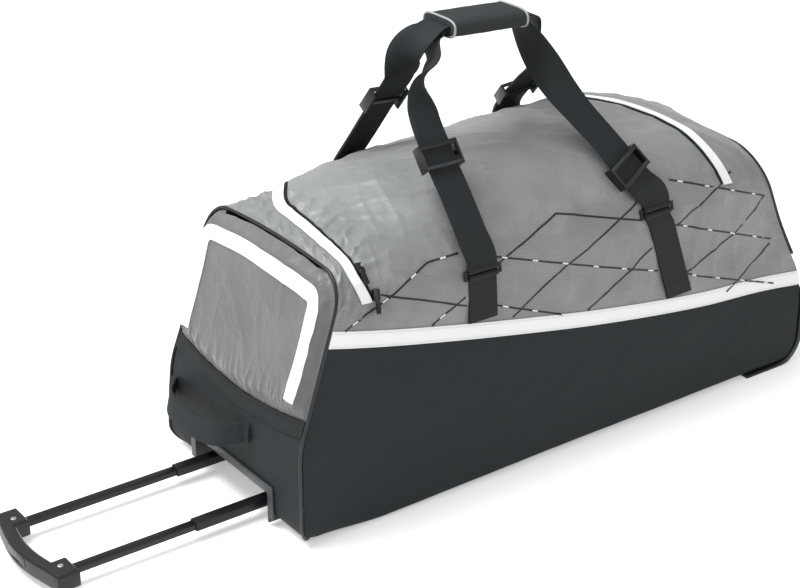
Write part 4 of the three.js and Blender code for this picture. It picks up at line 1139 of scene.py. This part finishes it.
def stitch_line(name, points, normals, step=4.2, length=2.6, radius=0.38):
    """Short raised stitches along a line."""
    run = np.concatenate([[0], np.cumsum(np.linalg.norm(np.diff(points, axis=0), axis=-1))])
    starts = np.arange(step / 2, run[-1] - length, step)
    verts, faces = [], []
    for begin in starts:
        ends = [
            np.array([np.interp(t, run, points[:, k]) for k in range(3)])
            for t in (begin, begin + length)]
        normal = unit(np.array([np.interp(begin, run, normals[:, k]) for k in range(3)]))
        side = unit(np.cross(normal, ends[1] - ends[0]))
        middle = (ends[0] + ends[1]) / 2 + normal * radius
        base = len(verts)
        for end in ends:
            verts += [end - side * radius * 0.6, end + side * radius * 0.6]
        verts += [middle - side * radius, middle + side * radius, middle + normal * radius]
        faces += [[base, base + 4, base + 6, base + 5, base + 1]]
        faces += [[base + 4, base + 2, base + 3, base + 5, base + 6]]
        faces += [[base, base + 1, base + 5, base + 3, base + 2, base + 4]]
    return new_object(name, verts, faces, THREAD)


for side in ("near", "far"):
    rows = strap_rows(side)
    line = np.array([row[:3] for row in rows], float)
    turns = np.array([row[3] for row in rows], float)
    count = len(rows) - 1
    places = np.linspace(0, count, count * 10 + 1)
    centres = curve_through(line, places)
    angle = np.radians(np.interp(places, np.arange(len(rows)), turns))
    wides = np.stack([np.cos(angle), np.sin(angle), 0 * angle], -1)
    last_glider = -4 if side == "near" else -5
    first, second = [
        int(np.linalg.norm(centres - line[row], axis=-1).argmin()) for row in (4, last_glider)]
    step = np.arange(len(centres))
    single = np.minimum(smooth((step - first - 6) / 5), smooth((second - 6 - step) / 5))
    strap = band(f"{side}_strap_webbing", centres, wides, WEB / 2, mix(2.0, 1.0, single), WEBBING)
    rolls = []
    for anchor_side, _, ring_x, ring_z in ANCHORS:
        if anchor_side == side:
            _, top, _, wide, _ = anchor_frame(side, ring_x, ring_z)
            rolls.append(eye_roll("roll", top, wide, WEBBING))
    dress(merge(f"{side}_strap_webbing", [strap, *rolls]), [f"{side}_carry_strap"])

for (side, foot_x, ring_x, ring_z), place in zip(ANCHORS, ("left", "right", "left", "right")):
    low_eye, _, up, wide, seat = anchor_frame(side, ring_x, ring_z)
    foot = float(girth_at_height(foot_x / HALF_LENGTH, tab_foot(foot_x)))
    share = np.linspace(0, 1, 30)[:, None]
    x = mix(foot_x, ring_x, share) + np.linspace(-WEB / 2, WEB / 2, 12)[None, :]
    girth = np.broadcast_to(mix(foot, seat, share), x.shape)
    girth = girth if side == "near" else 10 - girth
    tab_points = skin(x / HALF_LENGTH, girth) + skin_normal(x / HALF_LENGTH, girth) * 4.2
    tab = cloth("tab", tab_points, 3.4, WEBBING)
    roll = eye_roll("roll", low_eye, wide, WEBBING)
    dress(merge(f"{side}_{place}_anchor_tab", [tab, roll]), [f"{side}_{place}_anchor"])

# Rows of stitches
def skin_stitches(name, x, z, lift, far=False):
    place = x / HALF_LENGTH
    girth = girth_at_height(place, z)
    girth = 10 - girth if far else girth
    normal = skin_normal(place, girth)
    return stitch_line(name, skin(place, girth) + normal * lift, normal)


for label, far in (("near", False), ("far", True)):
    lines = []
    s = np.linspace(-0.985, 0.985, 200)
    for share, shift in ((0.0, 2.4), (1.0, -2.4)):
        z = stripe_low(s) + STRIPE_WIDTH * share + shift
        lines.append(skin_stitches("seam", s * HALF_LENGTH, z, 2.7, far=far))
    seam = merge(f"{label}_stripe_stitches", lines)
    seam.data.materials.clear()
    seam.data.materials.append(PRINT_LIGHT)
    dress(seam)
    for anchor_side, foot_x, ring_x, ring_z in ANCHORS:
        if anchor_side != label:
            continue
        foot_z = tab_foot(foot_x)
        boxes = []
        for row in (5, 20):
            x = np.linspace(foot_x - WEB / 2 + 4, foot_x + WEB / 2 - 4, 12)
            boxes.append(skin_stitches("row", x, 0 * x + foot_z + row, 4.3, far=far))
        patch = merge(f"{label}_{'left' if ring_x < 0 else 'right'}_anchor_stitches", boxes)
        dress(patch)

for number, below in enumerate((4, HEM_HEIGHT - 3)):
    across = np.linspace(-0.95, 0.95, 120)
    v = girth_at_height(-1, hem_line(across) - below)
    points = end_face(-1, across, v, lambda a, z, h: 2.5 + 0 * a)
    normals = np.broadcast_to(unit(np.array([-1.0, 0, 0.15])), points.shape)
    hem_seam = stitch_line(f"hem_stitches_{number + 1}", points, normals)
    dress(hem_seam)


# Padded wrap
def wrap_rings(columns, half_wide, half_high, length, puff):
    reach = np.linspace(-length / 2, length / 2, columns)
    turn = np.linspace(0, 2 * np.pi, 72, endpoint=False)
    c, s_ = np.cos(turn), np.sin(turn)
    y = half_wide * np.sign(c) * np.abs(c) ** 0.42
    z = half_high * np.sign(s_) * np.abs(s_) ** 0.8
    rings = []
    for r in reach:
        swell = 1 + puff * (1 - (2 * r / length) ** 6)
        dent = 0.35 * ripple(y / 16 + r / 22, np.full_like(y, r / 18.0), 81)
        zz = z * swell + dent * np.sign(z)
        x = WRAP_X + r * math.cos(WRAP_TILT) + zz * math.sin(WRAP_TILT)
        height = HANDLE_HEIGHT - r * math.sin(WRAP_TILT) + zz * math.cos(WRAP_TILT)
        rings.append(np.stack([x, y * (1 + 0.03 * (swell - 1)), height], -1))
    return np.array(rings)


wrap = loft("padded_wrap", wrap_rings(60, 33, 11, WRAP_LENGTH - 5, 0.1), PADDED, sharp=60)
dress(wrap, ["handle_wrap"])
for number, end in enumerate((-1, 1)):
    ring = wrap_rings(3, 33.6, 11.6, WRAP_LENGTH - 5, 0.02)[0 if end < 0 else 2]
    loop = np.concatenate([ring, ring[:2]])
    edge = tube(f"wrap_edging_{number + 1}", loop, 1.5, EDGING, 8)
    dress(edge)

# Grab handle on the front
GRAB = (
    (150, 0, 100, 0.8), (141, 0, 100, 0.85), (131, 9, 100, 0.95), (108, 26, 99, 1), (70, 31, 98, 1),
    (20, 30, 100, 1), (-14, 24, 106, 1), (-34, 9, 113, 0.95), (-43, 0, 116, 0.85), (-52, 0, 118, 0.8))
grab_line = np.array([(-HALF_LENGTH - 3 - out, y, z) for y, out, z, _ in GRAB], float)
grab_places = np.linspace(0, len(GRAB) - 1, 80)
grab_centres = curve_through(grab_line, grab_places)
grab_width = np.interp(grab_places, np.arange(len(GRAB)), [row[3] for row in GRAB]) * 17
grab_travel = np.gradient(grab_centres, axis=0)
grab_travel /= np.linalg.norm(grab_travel, axis=-1, keepdims=True)
upright = np.broadcast_to(unit(np.array([0.25, 0, 1.0])), grab_centres.shape)
grab_wide = upright - (upright * grab_travel).sum(-1, keepdims=True) * grab_travel
grab_thick = np.cross(grab_wide, grab_travel)
profile = np.linspace(0, 2 * np.pi, 28, endpoint=False)
across = np.sign(np.cos(profile)) * np.abs(np.cos(profile)) ** 0.5
through = np.sign(np.sin(profile)) * np.abs(np.sin(profile)) ** 0.8 * 2.5
grab_rings = (
    grab_centres[:, None] + grab_wide[:, None] * (across[None, :] * grab_width[:, None])[..., None]
    + grab_thick[:, None] * through[None, :, None])
grab = loft("grab_handle_band", grab_rings, CHARCOAL, sharp=60)
dress(grab, ["front_grab_handle"])

# Printed criss-cross lines on the charcoal side
LATTICE = (
    ((-378, 287), (-323, 304), (-235, 336), (-186, 336)),
    ((-318, 317), (-260, 297), (-184, 268)),
    ((-239, 256), (-187, 281)),
    ((-134, 307), (-22, 347), (116, 308)),
    ((-134, 320), (-15, 280), (145, 228)),
    ((-110, 231), (-15, 278), (109, 333)),
    ((-138, 256), (-73, 230), (-26, 212)),
    ((18, 206), (134, 265)),
    ((180, 347), (376, 280)),
    ((172, 284), (185, 285), (299, 332)),
    ((182, 285), (383, 210)),
    ((199, 210), (296, 239), (376, 280)),
    ((199, 210), (227, 197), (379, 144)),
    ((280, 159), (378, 204)),
)


def ribbon(name, ends, width, material, gaps=None, far=False):
    """A thin printed line on the side, straight over the cloth between its ends."""
    ends = np.array(ends, float)
    run = np.concatenate([[0], np.cumsum(np.hypot(*np.diff(ends, axis=0).T))])
    spans = [(0, run[-1])] if gaps is None else [
        (a, min(a + gaps[0], run[-1])) for a in np.arange(gaps[2], run[-1] - 2, gaps[1])]
    made = []
    for begin, stop in spans:
        t = np.linspace(begin, stop, max(3, int((stop - begin) / 5)))
        x, z = np.interp(t, run, ends[:, 0]), np.interp(t, run, ends[:, 1])
        place = x / HALF_LENGTH
        direction = np.stack([np.gradient(x), np.gradient(z)], -1)
        direction /= np.linalg.norm(direction, axis=-1, keepdims=True)
        offset = np.stack([-direction[:, 1], direction[:, 0]], -1) * width / 2
        grid = []
        for shift in (-1, 1):
            s = place + offset[:, 0] * shift / HALF_LENGTH
            # The end's lean shortens the skin, so the place is corrected once
            s = s + (x + offset[:, 0] * shift - skin(s, girth_at_height(s, z))[..., 0]) / HALF_LENGTH
            girth = girth_at_height(s, z + offset[:, 1] * shift)
            seam = seam_girth(s)
            point_girth = 10 - girth if far else girth
            side = side_relief(s, girth, far)
            over = top_relief(s, point_girth)
            relief = np.where(girth > seam, over, side)
            from_stripe = np.abs(z + offset[:, 1] * shift - stripe_low(s) - STRIPE_WIDTH / 2)
            stripe = from_stripe < STRIPE_WIDTH / 2 + 1
            lift = relief + 0.35 + np.where(stripe, 1.6, 0)
            grid.append(skin(s, point_girth) + skin_normal(s, point_girth) * lift[..., None])
        made.append(cloth(name, np.array(grid), 0.6, material))
    return merge(name, made) if len(made) > 1 else made[0]


for label, far in (("near", False), ("far", True)):
    for number, ends in enumerate(LATTICE):
        line = ribbon(f"{label}_print_{number + 1}", ends, 2.4, PRINT_DARK, far=far)
        dress(line)
        if number % 2 == 0:
            dashes = ribbon(f"{label}_dashes_{number + 1}", ends, 1.9, PRINT_LIGHT, (9, 52, 14), far)
            dashes.location += Vector((0, 0.00025 if far else -0.00025, 0.0001))
            dress(dashes)

# Floor, light and camera
floor_mesh = bpy.data.meshes.new("floor")
floor_mesh.from_pydata([(-6, -6, 0), (6, -6, 0), (6, 6, 0), (-6, 6, 0)], [], [(0, 1, 2, 3)])
floor_finish = finish("floor", (0.93, 0.93, 0.93), 0.7)
sockets(floor_finish)["Emission Color"].default_value = (1, 1, 1, 1)
sockets(floor_finish)["Emission Strength"].default_value = 0.35
floor_mesh.materials.append(floor_finish)
floor = placed("floor", floor_mesh)

world = bpy.data.worlds.new("studio")
bpy.context.scene.world = world
world.use_nodes = True
world.node_tree.nodes["Background"].inputs["Color"].default_value = (1, 1, 1, 1)
world.node_tree.nodes["Background"].inputs["Strength"].default_value = 0.55


def lamp(name, place, target, size, power):
    light = bpy.data.lights.new(name, "AREA")
    light.shape = "DISK"
    light.size = size
    light.energy = power
    held = placed(name, light)
    held.location = place
    held.rotation_euler = (Vector(target) - Vector(place)).to_track_quat("-Z", "Y").to_euler()


lamp("key", (-0.9, 0.5, 2.3), (0.15, 0, 0.3), 1.7, 70)
lamp("fill", (-2.6, -0.6, 1.1), (0.0, 0, 0.2), 1.2, 6)
lamp("side", (1.4, -2.2, 1.9), (0.2, 0, 0.3), 1.0, 10)

CAMERA_PLACE = (-1520.4, -1873.5, 1327.1)
CAMERA_AZIMUTH = math.radians(-35.79)
CAMERA_ELEVATION = math.radians(25.68)
camera_data = bpy.data.cameras.new("camera")
camera_data.sensor_width = 36
camera_data.lens = 85.7
camera = placed("camera", camera_data)
camera.location = to_row([CAMERA_PLACE])[0]
camera.rotation_euler = (math.radians(90) - CAMERA_ELEVATION, 0, CAMERA_AZIMUTH)
bpy.context.scene.camera = camera
bpy.context.scene.view_settings.view_transform = "Standard"
